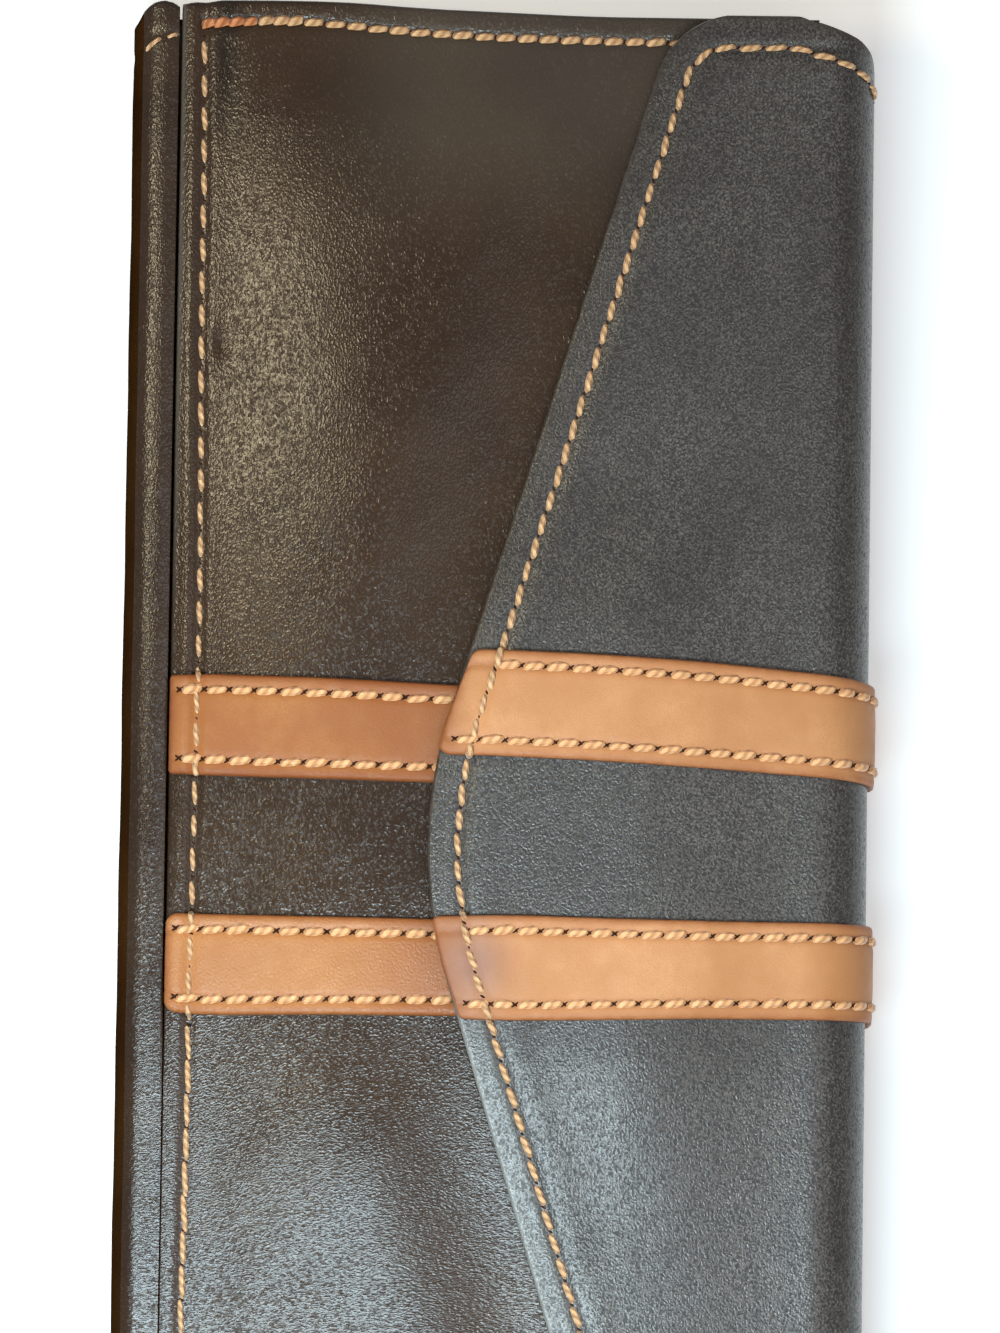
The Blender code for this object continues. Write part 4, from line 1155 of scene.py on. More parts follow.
class Finishes:
    """Every material of the wallet, made once."""

    def __init__(self) -> None:
        """Build them all."""
        glossy = {
            "cell": 0.5, "stretch": (1.3, 0.9), "far_stretch": (0.85, 1.9), "depth": 0.034,
            "worm": 0.7, "fine": 0.25, "rub": 0.35, "hollow": 0.34,
        }
        self.front = LeatherFinish(
            "front_leather_brown", (46, 29, 16), (62, 43, 27), (55, 37, 25), (38, 23, 13), (0.15, 0.19),
            specular=0.34, hollow_shade=0.35, furrow=(34, 19, 10),
            # Pale mark: painted sheen and a painted highlight; shade mark: painted shade in the furrow by the
            # head corner.
            marks=(("pale", (128, 122, 112)), ("shade", (24, 15, 9))), **glossy,
        ).make()
        self.lobe = LeatherFinish(
            "lobe_leather_brown", (42, 26, 14), (58, 40, 25), (51, 34, 23), (35, 21, 12), (0.17, 0.21),
            specular=0.38, hollow_shade=0.3, furrow=(26, 13, 7), **glossy,
        ).make()
        # Same brown hide as the front: its grey tone is painted sky sheen, a lit copy of the brown leather.
        self.flap = LeatherFinish(
            "flap_leather_grey_painted_sheen", (79, 72, 67), (98, 91, 85), (90, 84, 79), (54, 43, 36), (0.25, 0.3),
            cell=0.46, stretch=(1.1, 1.0), depth=0.04, worm=0.7, fine=0.3, rub=0.3, specular=0.4, hollow=0.3,
            hollow_shade=0.9, furrow=(33, 28, 28),
            # Pale mark: painted highlight on the cut edge and painted sheen on its margin.
            marks=(("pale", (150, 150, 146)),),
        ).make()
        # Shaded copy of the back skin's leather: darker and without specular reflection, it paints the shade
        # on the roll's flank; the lobe's copy takes the top of the roll.
        self.back = LeatherFinish(
            "back_leather_brown", (37, 18, 5), (56, 34, 14), (47, 29, 14), (31, 15, 6), (0.5, 0.6),
            cell=0.5, depth=0.036, worm=0.7, fine=0.25, rub=0.3, specular=0.0, hollow=0.2, coat=0.8,
            # Painted sheen grey with a coat towards the turn, matching the flap's painted-sheen grey.
            marks=(("ashen", (62, 55, 52)),),
        ).make()
        # First mark: painted shadow of the flap on the front straps, and darker tips on the flap straps;
        # second: painted shade along the stitch dents; third: a stain.
        tan_marks = (("tinge", (140, 80, 42)), ("shade", (148, 86, 46)), ("stain", (120, 92, 92)))
        self.strap = LeatherFinish(
            "strap_leather_tan", (146, 83, 38), (168, 107, 55), (145, 80, 37), (126, 64, 31), (0.46, 0.58),
            cell=0.4, depth=0.02, worm=0.6, rub=0.2, reach=1.2, marks=tan_marks,
        ).make()
        # Lit copy of the front straps' tan, painted lighter for the stronger light at the foot.
        self.foot_strap_lit_copy = LeatherFinish(
            "strap_leather_tan_lit_foot", (166, 105, 56), (189, 128, 76), (162, 99, 52), (139, 76, 38),
            (0.36, 0.46),
            cell=0.5, depth=0.034, worm=0.6, rub=0.2, reach=1.2, marks=tan_marks,
        ).make()
        self.flap_strap = LeatherFinish(
            "strap_leather_light_tan", (180, 121, 76), (203, 144, 98), (176, 114, 69), (150, 86, 47),
            (0.46, 0.58),
            cell=0.4, depth=0.018, worm=0.6, rub=0.2, reach=1.2, marks=tan_marks,
        ).make()
        self.lining = LeatherFinish(
            "lining_leather_brown", (44, 29, 22), (62, 43, 33), (56, 40, 34), (40, 26, 20), (0.55, 0.66),
            cell=0.8, depth=0.03, rub=0.2,
        ).make()
        self.edge = PlainFinish("cut_edge_brown", (50, 36, 28), (98, 86, 78), (0.5, 0.7), 0.25, 0.04).make()
        self.strap_edge = PlainFinish(
            "cut_edge_tan", (92, 46, 24), (148, 86, 48), (0.5, 0.7), 0.25, 0.04,
        ).make()
        # Painted shade: the dark tone stands for the shade inside the needle holes.
        self.hole = PlainFinish("needle_hole_painted_shade", (32, 17, 9), (66, 34, 18), (0.9, 1.0), 0.2, 0.02).make()
        self.hole.node_tree.nodes["Principled BSDF"].inputs["Specular IOR Level"].default_value = 0.1
        self.thread = ThreadFinish("thread_gold", (170, 120, 78), (216, 173, 126)).make()
        self.strap_thread = ThreadFinish("thread_tan", (196, 132, 82), (232, 178, 126)).make()
        self.tack_thread = ThreadFinish("thread_orange", (156, 84, 40), (204, 132, 80)).make()
        self.board = PlainFinish(
            "fibre_board", (122, 104, 84), (150, 132, 108), (0.8, 0.95), 0.5, 0.05,
        ).make()
        self.felt = PlainFinish(
            "padding_felt", (196, 190, 176), (222, 216, 204), (0.85, 0.98), 0.35, 0.12,
        ).make()
        self.tape = PlainFinish(
            "zip_tape_weave", (38, 30, 26), (56, 45, 38), (0.75, 0.9), 0.4, 0.07, woven=0.55,
        ).make()
        self.brass = PlainFinish(
            "antique_brass", (150, 116, 66), (196, 158, 98), (0.28, 0.46), 0.9, 0.01, metallic=1.0,
        ).make()
        self.steel = PlainFinish(
            "plated_steel", (150, 152, 156), (182, 184, 188), (0.25, 0.4), 0.7, 0.01, metallic=1.0,
        ).make()


# Seams

@dataclass(frozen=True)
class StitchStyle:
    """One kind of stitch: sizes in millimetres, slant as its sideways run."""

    pitch: float
    width: float
    cover: float = 0.86
    slant: float = 0.3
    rise: float = 0.22
    hole: tuple[float, float] = (0.42, 0.2)
    hole_turn: float = 50.0
    crossed: bool = False
    taper: float = 0.4
    power: float = 4.0


class Track:
    """A line that a seam follows on a surface, walked by its length."""

    def __init__(self, points: Array, normals: Array) -> None:
        """Keep the points (n, 3) in millimetres and the surface normals beside them.

        Args:
            points: the line's points.
            normals: the surface's normals beside them.
        """
        walked = np.concatenate([[0.0], np.cumsum(np.linalg.norm(np.diff(points, axis=0), axis=1))])
        self.length = float(walked[-1])
        self.s = np.linspace(0.0, self.length, max(8, int(self.length / 0.15)))
        self.points = np.stack([np.interp(self.s, walked, points[:, k]) for k in range(3)], -1)
        self.normals = np.stack([np.interp(self.s, walked, normals[:, k]) for k in range(3)], -1)
        self.tangents = np.gradient(self.points, self.s, axis=0)

    def read(self, values: Array, s: Array) -> Array:
        """Values of the track at walked lengths of any shape."""
        return np.stack([np.interp(s, self.s, values[:, k]) for k in range(3)], -1)

    def frame(self, s: Array) -> tuple[Array, Array, Array, Array]:
        """Point, direction, sideways direction and normal at each s, the last three of unit length.

        Args:
            s: walked lengths.

        Returns:
            The point and the three directions at each.
        """
        point, ahead, up = (self.read(v, s) for v in (self.points, self.tangents, self.normals))
        ahead = ahead / np.linalg.norm(ahead, axis=-1, keepdims=True)
        up = up - ahead * np.sum(up * ahead, -1, keepdims=True)
        up = up / np.linalg.norm(up, axis=-1, keepdims=True)
        return point, ahead, np.cross(up, ahead), up


Row = tuple[Track, StitchStyle]
STITCH_RINGS = 7
STITCH_SIDES = 6


def stitch_faces(count: int) -> tuple[Array, Array, Array]:
    """Faces of count capped tubes and their UV corners (ring share, side share).

    Args:
        count: how many tubes.

    Returns:
        Side faces, cap faces and the corners' shares.
    """
    ring, side = np.meshgrid(np.arange(STITCH_RINGS - 1), np.arange(STITCH_SIDES), indexing="ij")
    ring, side = ring.reshape(-1), side.reshape(-1)
    corners = [(0, 0), (1, 0), (1, 1), (0, 1)]
    quads = np.stack([(ring + r) * STITCH_SIDES + (side + q) % STITCH_SIDES for r, q in corners], -1)
    turns = np.stack([np.stack([ring + r, side + q], -1) for r, q in corners], 1).astype(float)
    first_cap = np.arange(STITCH_SIDES)
    caps = np.stack([first_cap, (STITCH_RINGS - 1) * STITCH_SIDES + first_cap[::-1]])
    base = np.arange(count)[:, None, None] * STITCH_RINGS * STITCH_SIDES
    uv = turns / np.array([STITCH_RINGS - 1, STITCH_SIDES])
    return (quads + base).reshape(-1, 4), (caps + base).reshape(-1, STITCH_SIDES), uv


def sew(name: str, rows: Sequence[Row], seed: int) -> bpy.types.Object:
    """Lay separate stitches along tracks: each an arched, slanted, tapered tube that dives at both ends.

    A point is P + S*(slant*t/2) + N*(rise - (rise+0.26)*t^4) + r*(S*cos + 0.75*N*sin), with t from -1 to 1
    along the stitch, S sideways, N the surface normal and r = width/2*(1 - taper*|t|^power).

    Args:
        name: the piece's name.
        rows: each track with its style.
        seed: start of the small hand-made differences.

    Returns:
        One object with all the stitches.
    """
    chance = np.random.default_rng(seed)
    t = np.linspace(-1.0, 1.0, STITCH_RINGS)[None, :]
    phi = np.arange(STITCH_SIDES) * 2.0 * np.pi / STITCH_SIDES
    parts, spans = [], []
    for track, style in rows:
        count = max(1, int(round(track.length / style.pitch)))
        pitch = track.length / count
        jitter = chance.normal(0.0, 1.0, (3, count, 1))
        middle = (np.arange(count)[:, None] + 0.5) * pitch + 0.05 * jitter[0]
        reach = style.cover * pitch / 2.0 * (1.0 + 0.04 * jitter[1])
        point, _, sideways, up = track.frame(np.clip(middle + t * reach, 0.0, track.length))
        tapered = 1.0 - style.taper * np.abs(t) ** style.power
        radius = style.width / 2.0 * tapered * (1.0 + 0.05 * jitter[2])
        lateral = (style.slant * (1.0 + 0.25 * jitter[1]) * t / 2.0 + 0.03 * jitter[2])[..., None]
        lift = (style.rise - (style.rise + 0.26) * t ** 4)[..., None]
        core = point + sideways * lateral + up * lift
        tube = radius[..., None, None] * (
            sideways[:, :, None] * np.cos(phi)[:, None] + 0.75 * up[:, :, None] * np.sin(phi)[:, None])
        parts.append((core[:, :, None] + tube).reshape(-1, 3))
        spans.append(np.repeat(2.0 * reach[:, 0], (STITCH_RINGS - 1) * STITCH_SIDES * 4))
    points = np.concatenate(parts)
    total = len(points) // (STITCH_RINGS * STITCH_SIDES)
    quads, caps, uv = stitch_faces(total)
    obj = put_mesh(name, points, [quads, caps], [0, 0])
    layer = obj.data.uv_layers.new(name="stitch")
    loops = np.zeros((len(obj.data.loops), 2))
    tiled = np.tile(uv.reshape(-1, 2), (total, 1))
    tiled[:, 0] *= np.concatenate(spans)
    loops[: len(tiled)] = tiled
    layer.data.foreach_set("uv", loops.astype(np.float32).reshape(-1))
    return obj


HOLE_SIDES = 8


def punch(name: str, rows: Sequence[Row]) -> bpy.types.Object:
    """Needle holes between the stitches: slim dark lenses set into the leather, turned across the seam.

    Their dark tone is painted shade inside the holes.

    A ring point is P + a*cos*D + b*sin*E just over the surface, with D and E the turned directions, and
    one pole lies over and one under its middle.

    Args:
        name: the piece's name.
        rows: each track with its style.

    Returns:
        One object with all the holes.
    """
    phi = np.arange(HOLE_SIDES) * 2.0 * np.pi / HOLE_SIDES
    parts = []
    for track, style in rows:
        count = max(1, int(round(track.length / style.pitch)))
        place = np.linspace(0.0, track.length, count + 1)
        point, ahead, sideways, up = track.frame(place)
        for sign in (1.0, -1.0) if style.crossed else (1.0,):
            turn = np.radians(style.hole_turn) * sign
            first = ahead * np.cos(turn) + sideways * np.sin(turn)
            second = np.cross(up, first)
            ring = point[:, None] + style.hole[0] * np.cos(phi)[:, None] * first[:, None]
            ring = ring + style.hole[1] * np.sin(phi)[:, None] * second[:, None] + 0.03 * up[:, None]
            poles = np.stack([point + 0.06 * up, point - 0.12 * up], 1)
            parts.append(np.concatenate([ring, poles], 1).reshape(-1, 3))
    points = np.concatenate(parts)
    total = len(points) // (HOLE_SIDES + 2)
    here, after = np.arange(HOLE_SIDES), np.roll(np.arange(HOLE_SIDES), -1)
    top = np.stack([here, after, np.full(HOLE_SIDES, HOLE_SIDES)], -1)
    under = np.stack([after, here, np.full(HOLE_SIDES, HOLE_SIDES + 1)], -1)
    faces = np.concatenate([top, under])[None] + np.arange(total)[:, None, None] * (HOLE_SIDES + 2)
    return put_mesh(name, points, [faces.reshape(-1, 3)], [0])


# Straps

Line = tuple[tuple[float, float], ...]


@dataclass(frozen=True)
class StrapForm:
    """A strap's run on a path: its middle and half width by walked length, and its end corners."""

    middle: Line
    half: Line
    corner: float = 0.6
    inset: float = 1.9
    thick: float = 1.42
    thick_at_turn: float = 0.82
    thin_from: float = 1e3
    thin_until: float = -1e3

    def middle_at(self, s: Array) -> Array:
        """X of the strap's middle."""
        return through(s, self.middle)

    def half_at(self, s: Array) -> Array:
        """Half width of the strap."""
        return through(s, self.half)

    def thick_at(self, s: Array) -> Array:
        """Thickness, drawn thinner round the turn."""
        thin = np.maximum(smooth(s - self.thin_from, 9.0), 1.0 - smooth(s - self.thin_until, 9.0))
        return self.thick + (self.thick_at_turn - self.thick) * thin

    def cover(self, x: Array, s: Array) -> Array:
        """1 on the strap and 0 beside it, with a step 0.4 wide at its borders."""
        inside = self.half_at(s) - np.abs(x - self.middle_at(s))
        return smooth(inside + 0.2, 0.4)


def strap_shell(name: str, path: SectionPath, form: StrapForm, relief: Field2,
                start: Callable[[Array], Array] | float, stop: float,
                rounded: tuple[bool, bool]) -> tuple[bpy.types.Object, Array, Array]:
    """Strap laid along a path: a closed sheet with rounded borders and a row dented for each seam.

    Its top is relief + thick + a slight crown - a dent at the inset - the rounded border.

    Args:
        name: the piece's name.
        path: path that it follows.
        form: its run.
        relief: height of what it lies on, by (x, s).
        start: walked length at which it starts, or a function of x for a slanted end.
        stop: walked length at which it stops.
        rounded: whether the first and the last end have rounded corners.

    Returns:
        The object and its grids of x and s.
    """
    side = margin_steps(12.0, 1.0, band=4.9) / 6.0 - 1.0
    base = float(np.min(start(form.middle_at(np.array([0.0]))))) if callable(start) else start
    run = margin_steps(stop - base, 0.9)
    c, d = np.meshgrid(side, run, indexing="ij")
    s = base + d
    x = form.middle_at(s) + c * form.half_at(s)
    if callable(start):
        first = start(x)
        s = first + (stop - first) * (d / (stop - base))
        x = form.middle_at(s) + c * form.half_at(s)
    head_gap, foot_gap = s - s[:, :1], s[:, -1:] - s
    shrink = rounding(head_gap, form.corner) * rounded[0] + rounding(foot_gap, form.corner) * rounded[1]
    x = form.middle_at(s) + c * (form.half_at(s) - shrink)
    border = (1.0 - np.abs(c)) * form.half_at(s)
    ends = np.minimum(np.where(rounded[0], head_gap, FAR), np.where(rounded[1], foot_gap, FAR))
    edge = np.minimum(border, ends)
    dent = 0.24 * bell(border - form.inset, 0.5)
    seam_shade = 0.5 * bell(border - form.inset, 0.62)
    crowned = form.thick_at(s) + 0.12 * (1.0 - c * c)
    top = crowned - dent - rounding(edge, 0.5) + 0.03 * wander(3.0, x, s, 9.0)
    under = relief(x, s)
    outer, inner = path.at(x, s, under + top), path.at(x, s, under + 0.05)
    obj = mark(shell(name, outer, inner), edge=edge, shade=seam_shade)
    return obj, x, s


def strap_rows(path: SectionPath, form: StrapForm, base: Field2, starts: Sequence[float], stop: float,
               count: int, style: StitchStyle, sunk: float = 0.0) -> list[Row]:
    """Both rows of stitches on a strap, set in from its long borders.

    Args:
        path: path that the strap follows.
        form: the strap's run.
        base: height of what it lies on.
        starts: walked length at which each row starts.
        stop: walked length at which both stop.
        count: points on each track.
        style: their stitches.
        sunk: depth below the strap's plain thickness.

    Returns:
        Each row with its style.
    """
    rows = []
    for side, start in zip((-1.0, 1.0), starts):
        s = np.linspace(start, stop, count)
        x = form.middle_at(s) + side * (form.half_at(s) - form.inset)
        rows.append((Track(path.at(x, s, base(x, s) + form.thick_at(s) - sunk), path.normal_at(s)), style))
    return rows


FRONT_STRAPS = {
    End.HEAD: StrapForm(((0.0, -14.75), (4.0, -14.8), (19.0, -14.4), (34.0, -13.9), (45.0, -13.7)),
                        ((0.0, 6.05), (5.0, 6.25), (20.0, 6.2), (45.0, 5.9)), corner=0.5),
    End.FOOT: StrapForm(((0.0, 14.45), (5.0, 14.7), (20.0, 14.7), (45.0, 14.8)),
                        ((0.0, 6.05), (5.0, 6.2), (20.0, 6.0), (45.0, 5.85)), corner=1.5),
}
FLAP_STRAPS = {
    End.HEAD: StrapForm(((5.0, -17.5), (11.0, -17.4), (22.0, -17.05), (39.0, -16.2), (50.0, -15.4),
                         (61.0, -14.5), (66.0, -14.5)),
                        ((5.0, 6.5), (38.0, 6.5), (61.0, 6.2), (66.0, 6.2)), corner=1.5, thin_from=47.0),
    End.FOOT: StrapForm(((5.0, 14.95), (27.0, 14.95), (39.0, 14.8), (61.0, 14.7), (66.0, 14.7)),
                        ((5.0, 6.2), (14.0, 6.45), (27.0, 6.15), (39.0, 5.95), (66.0, 5.9)), corner=0.8,
                        thin_from=47.0),
}
BACK_STRAPS = {
    End.HEAD: StrapForm(((0.0, -14.5), (14.0, -15.0), (90.0, -15.0)), ((0.0, 6.2), (90.0, 6.4)), corner=1.2,
                        thick=1.3, thin_until=0.0),
    End.FOOT: StrapForm(((0.0, 14.7), (14.0, 15.0), (90.0, 15.0)), ((0.0, 5.9), (14.0, 6.3), (90.0, 6.4)),
                        corner=1.2, thick=1.3, thin_until=0.0),
}


def front_base(x: Array, s: Array) -> Array:
    """Front relief by walked length."""
    return front_relief(x, FRONT_PATH.y_at(s))


def flap_base(x: Array, s: Array) -> Array:
    """Flap relief by walked length, faded out round the turn."""
    return flap_relief(x, FLAP_PATH.y_at(s)) * smooth(SIZE.y_turn + 1.5 - FLAP_PATH.y_at(s), 5.0)


def covered(base: Field2, straps: dict[End, StrapForm]) -> Field2:
    """A surface together with the straps that lie on it.

    Args:
        base: the surface's height.
        straps: what lies on it.

    Returns:
        Height of the upper surface, by (x, s).
    """
    def height(x: Array, s: Array) -> Array:
        """Relief plus the strap's thickness where a strap lies."""
        lift = sum(form.cover(x, s) * (form.thick_at(s) + 0.1) for form in straps.values())
        return base(x, s) + lift
    return height


FRONT_TOP = covered(front_base, FRONT_STRAPS)
FLAP_TOP = covered(flap_base, FLAP_STRAPS)


def track_on(path: SectionPath, height: Field2, x: Array, s: Array) -> Track:
    """Track through places (x, s) of a path, at the height of what lies there."""
    return Track(path.at(x, s, height(x, s)), path.normal_at(s))


# Sub-assemblies

def dress(obj: bpy.types.Object, *materials: bpy.types.Material) -> None:
    """Give a piece its materials, in the order of its slots."""
    for material in materials:
        obj.data.materials.append(material)


@dataclass
class SubAssembly:
    """Pieces that are carried, sewn and reported alike."""

    finishes: Finishes

    def carry(self, obj: bpy.types.Object) -> None:
        """Put a piece on its body, or bake its placement into its mesh."""
        raise NotImplementedError

    def settle(self, obj: bpy.types.Object, slot: str) -> None:
        """Carry a piece and report it.

        Args:
            obj: the piece.
            slot: its material slot; not used.
        """
        self.carry(obj)
        LOG.info("%s: %d faces", obj.name, len(obj.data.polygons))

    def stitch(self, name: str, rows: Sequence[Row], seed: int, thread: bpy.types.Material,
               *stands_for: str) -> None:
        """Sew rows of stitches and settle them.

        Args:
            name: the piece's name.
            rows: each track with its style.
            seed: start of their small differences.
            thread: their material.
            stands_for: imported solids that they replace.
        """
        obj = sew(name, rows, seed)
        dress(obj, thread)
        if stands_for:
            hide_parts(*stands_for)
        self.settle(obj, "seam_thread")

    def pierce(self, name: str, rows: Sequence[Row]) -> None:
        """Punch the needle holes of rows and settle them.

        Args:
            name: the piece's name.
            rows: each track with its style.
        """
        obj = punch(name, rows)
        dress(obj, self.finishes.hole)
        self.settle(obj, "seam_thread")


@dataclass
class FrontPanel(SubAssembly):
    """Padded front panel with its straps and seams."""

    step: float = 0.9
    padding_half: float = 101.1
    padding_stop: float = 36.45
    turned_in: float = 1.95
    bunch_from: float = -31.2
    bunch_stop: float = -25.6
    pressed_from: float = 19.5
    seam_stop: float = 36.4
    seam: StitchStyle = StitchStyle(4.15, 0.7, 0.84, 0.24, 0.14, (0.5, 0.13), 62.0, False, 0.72, 2.2)
    foot_seam: StitchStyle = StitchStyle(4.15, 0.7, 1.12, 0.3, 0.2, (0.5, 0.13), 62.0, False, 0.5, 2.6)
    bunch: StitchStyle = StitchStyle(2.0, 1.12, 1.2, 0.4, 0.34, (0.36, 0.24), 40.0, False, 0.4, 2.4)
    end_seam: StitchStyle = StitchStyle(2.7, 1.02, 1.0, 0.3, 0.34, (0.36, 0.24), 40.0, False, 0.45, 3.0)
    pressed: StitchStyle = StitchStyle(2.7, 0.74, 1.0, 0.3, 0.08, (0.36, 0.2), 40.0, False, 0.45, 3.0)
    tack: StitchStyle = StitchStyle(1.6, 1.2, 1.25, 0.35, 0.36, (0.4, 0.25), 30.0, False, 0.35, 2.0)
    strap_seam: StitchStyle = StitchStyle(3.0, 1.12, 0.94, 0.36, 0.12, (0.62, 0.15), 36.0, True, 0.5, 3.0)

    def build(self) -> None:
        """Build skin, seams and straps, and put them on the front panel's body."""
        self.skin()
        rows = self.seam_rows()
        self.stitch("front_seam", rows, 11, self.finishes.thread, "front_seam_thread")
        self.pierce("front_seam_holes", rows)
        self.stitch("front_seam_tack", [(self.tack_track(), self.tack)], 5, self.finishes.tack_thread)
        for end in End:
            self.strap(end)

    def carry(self, obj: bpy.types.Object) -> None:
        """Let a piece ride on the front panel."""
        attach(obj, "front_panel")

    def skin(self) -> None:
        """The panel's leather: the relief on top, and under it a face that turns in past the padding."""
        across = FRONT_PATH.y_at(margin_steps(FRONT_PATH.length, self.step))
        share, y = np.meshgrid(lengthwise(self.step), across, indexing="ij")
        x = share * front_half(y)
        relief = front_relief(x, y)
        outer = np.stack([x, y, SIZE.z_front + relief], -1)
        inner = outer.copy()
        past_padding = np.maximum(np.abs(x) - self.padding_half, y - self.padding_stop)
        turned_in = self.turned_in * smooth(past_padding, 0.3) * smooth(y - SIZE.groove_y - 2.0, 2.0)
        inner[..., 2] = SIZE.z_front - SIZE.leather + np.minimum(crown(x, y), relief) - turned_in
        edge = np.minimum(front_half(y) - np.abs(x), y - SIZE.groove_y)
        furrow = 0.75 * bell(y - FURROW_Y, 1.5) * smooth(-x - 84.0, 13.0)
        # Painted sheen: the panel lighter near the head end, away from the seam.
        head_painted_sheen = 0.13 * smooth(-x - 70.0, 24.0) * smooth(y + 28.0, 20.0)
        # Painted highlight: a thin light line on the lip beside the groove, towards the head.
        groove_painted_highlight = 0.3 * bell(y - SIZE.groove_y - 0.3, 0.28) * (1.0 - smooth(x + 70.0, 60.0))
        obj = mark(shell("front_skin", outer, inner), edge=edge, shade=furrow, pale=head_painted_sheen + groove_painted_highlight)
        dress(obj, self.finishes.front, self.finishes.back)
        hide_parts("front_leather")
        self.settle(obj, "outer_leather")

    def seam_rows(self) -> list[Row]:
        """Long seam by the groove and a seam along each end, pressed flat where the flap covers it.

        Returns:
            Each stretch with its style.
        """
        rows = []
        middle, half = 22.0, SIZE.half_length
        for start, stop, style in ((-half + 4.6, middle, self.seam), (middle, half - 3.2, self.foot_seam)):
            x = np.linspace(start, stop, 900)
            rows.append((track_on(FRONT_PATH, FRONT_TOP, x, long_seam_y(x) - SIZE.groove_y), style))
        for end, start, stop, style in (
            (End.HEAD, self.bunch_from, self.bunch_stop, self.bunch),
            (End.HEAD, self.bunch_stop, self.pressed_from, self.end_seam),
            (End.HEAD, self.pressed_from, self.seam_stop, self.pressed),
            (End.FOOT, -37.6, self.pressed_from, self.end_seam),
            (End.FOOT, self.pressed_from, self.seam_stop, self.pressed),
        ):
            y = np.linspace(start, stop, 500)
            x = end.value * end_seam_x(y)
            rows.append((track_on(FRONT_PATH, FRONT_TOP, x, y - SIZE.groove_y), style))
        return rows

    def tack_track(self) -> Track:
        """Line of the bunched reverse stitches at the head corner."""
        y = np.linspace(-38.2, self.bunch_from, 60)
        return track_on(FRONT_PATH, FRONT_TOP, -end_seam_x(y), y - SIZE.groove_y)

    def strap(self, end: End) -> None:
        """One strap, tucked under the flap, with its two rows of stitches.

        Args:
            end: the wallet's end that it is nearer to.
        """
        form, name = FRONT_STRAPS[end], end.name.lower()
        stop = float(flap_edge(np.array(form.middle[-1][1]))) + 8.0 - SIZE.groove_y
        obj, _, s = strap_shell(f"front_strap_{name}_skin", FRONT_PATH, form, front_base, 0.0, stop,
                                (True, False))
        # Painted shadow of the flap: the strap darkens towards the flap's cut edge and under it.
        mark(obj, tinge=0.75 * smooth(s - (stop - 19.0), 11.0))
        # The foot strap takes the lit copy of the tan, painted lighter.
        face = self.finishes.strap if end is End.HEAD else self.finishes.foot_strap_lit_copy
        dress(obj, face, self.finishes.strap_edge)
        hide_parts(f"front_strap_{name}")
        self.settle(obj, "strap_leather")
        rows = strap_rows(FRONT_PATH, form, front_base, (1.3, 1.3), stop - 3.5, 300, self.strap_seam)
        self.stitch(f"front_strap_seam_{name}", rows, 21 + int(end.value), self.finishes.strap_thread,
                    f"front_strap_thread_{name}")
        self.pierce(f"front_strap_holes_{name}", rows)


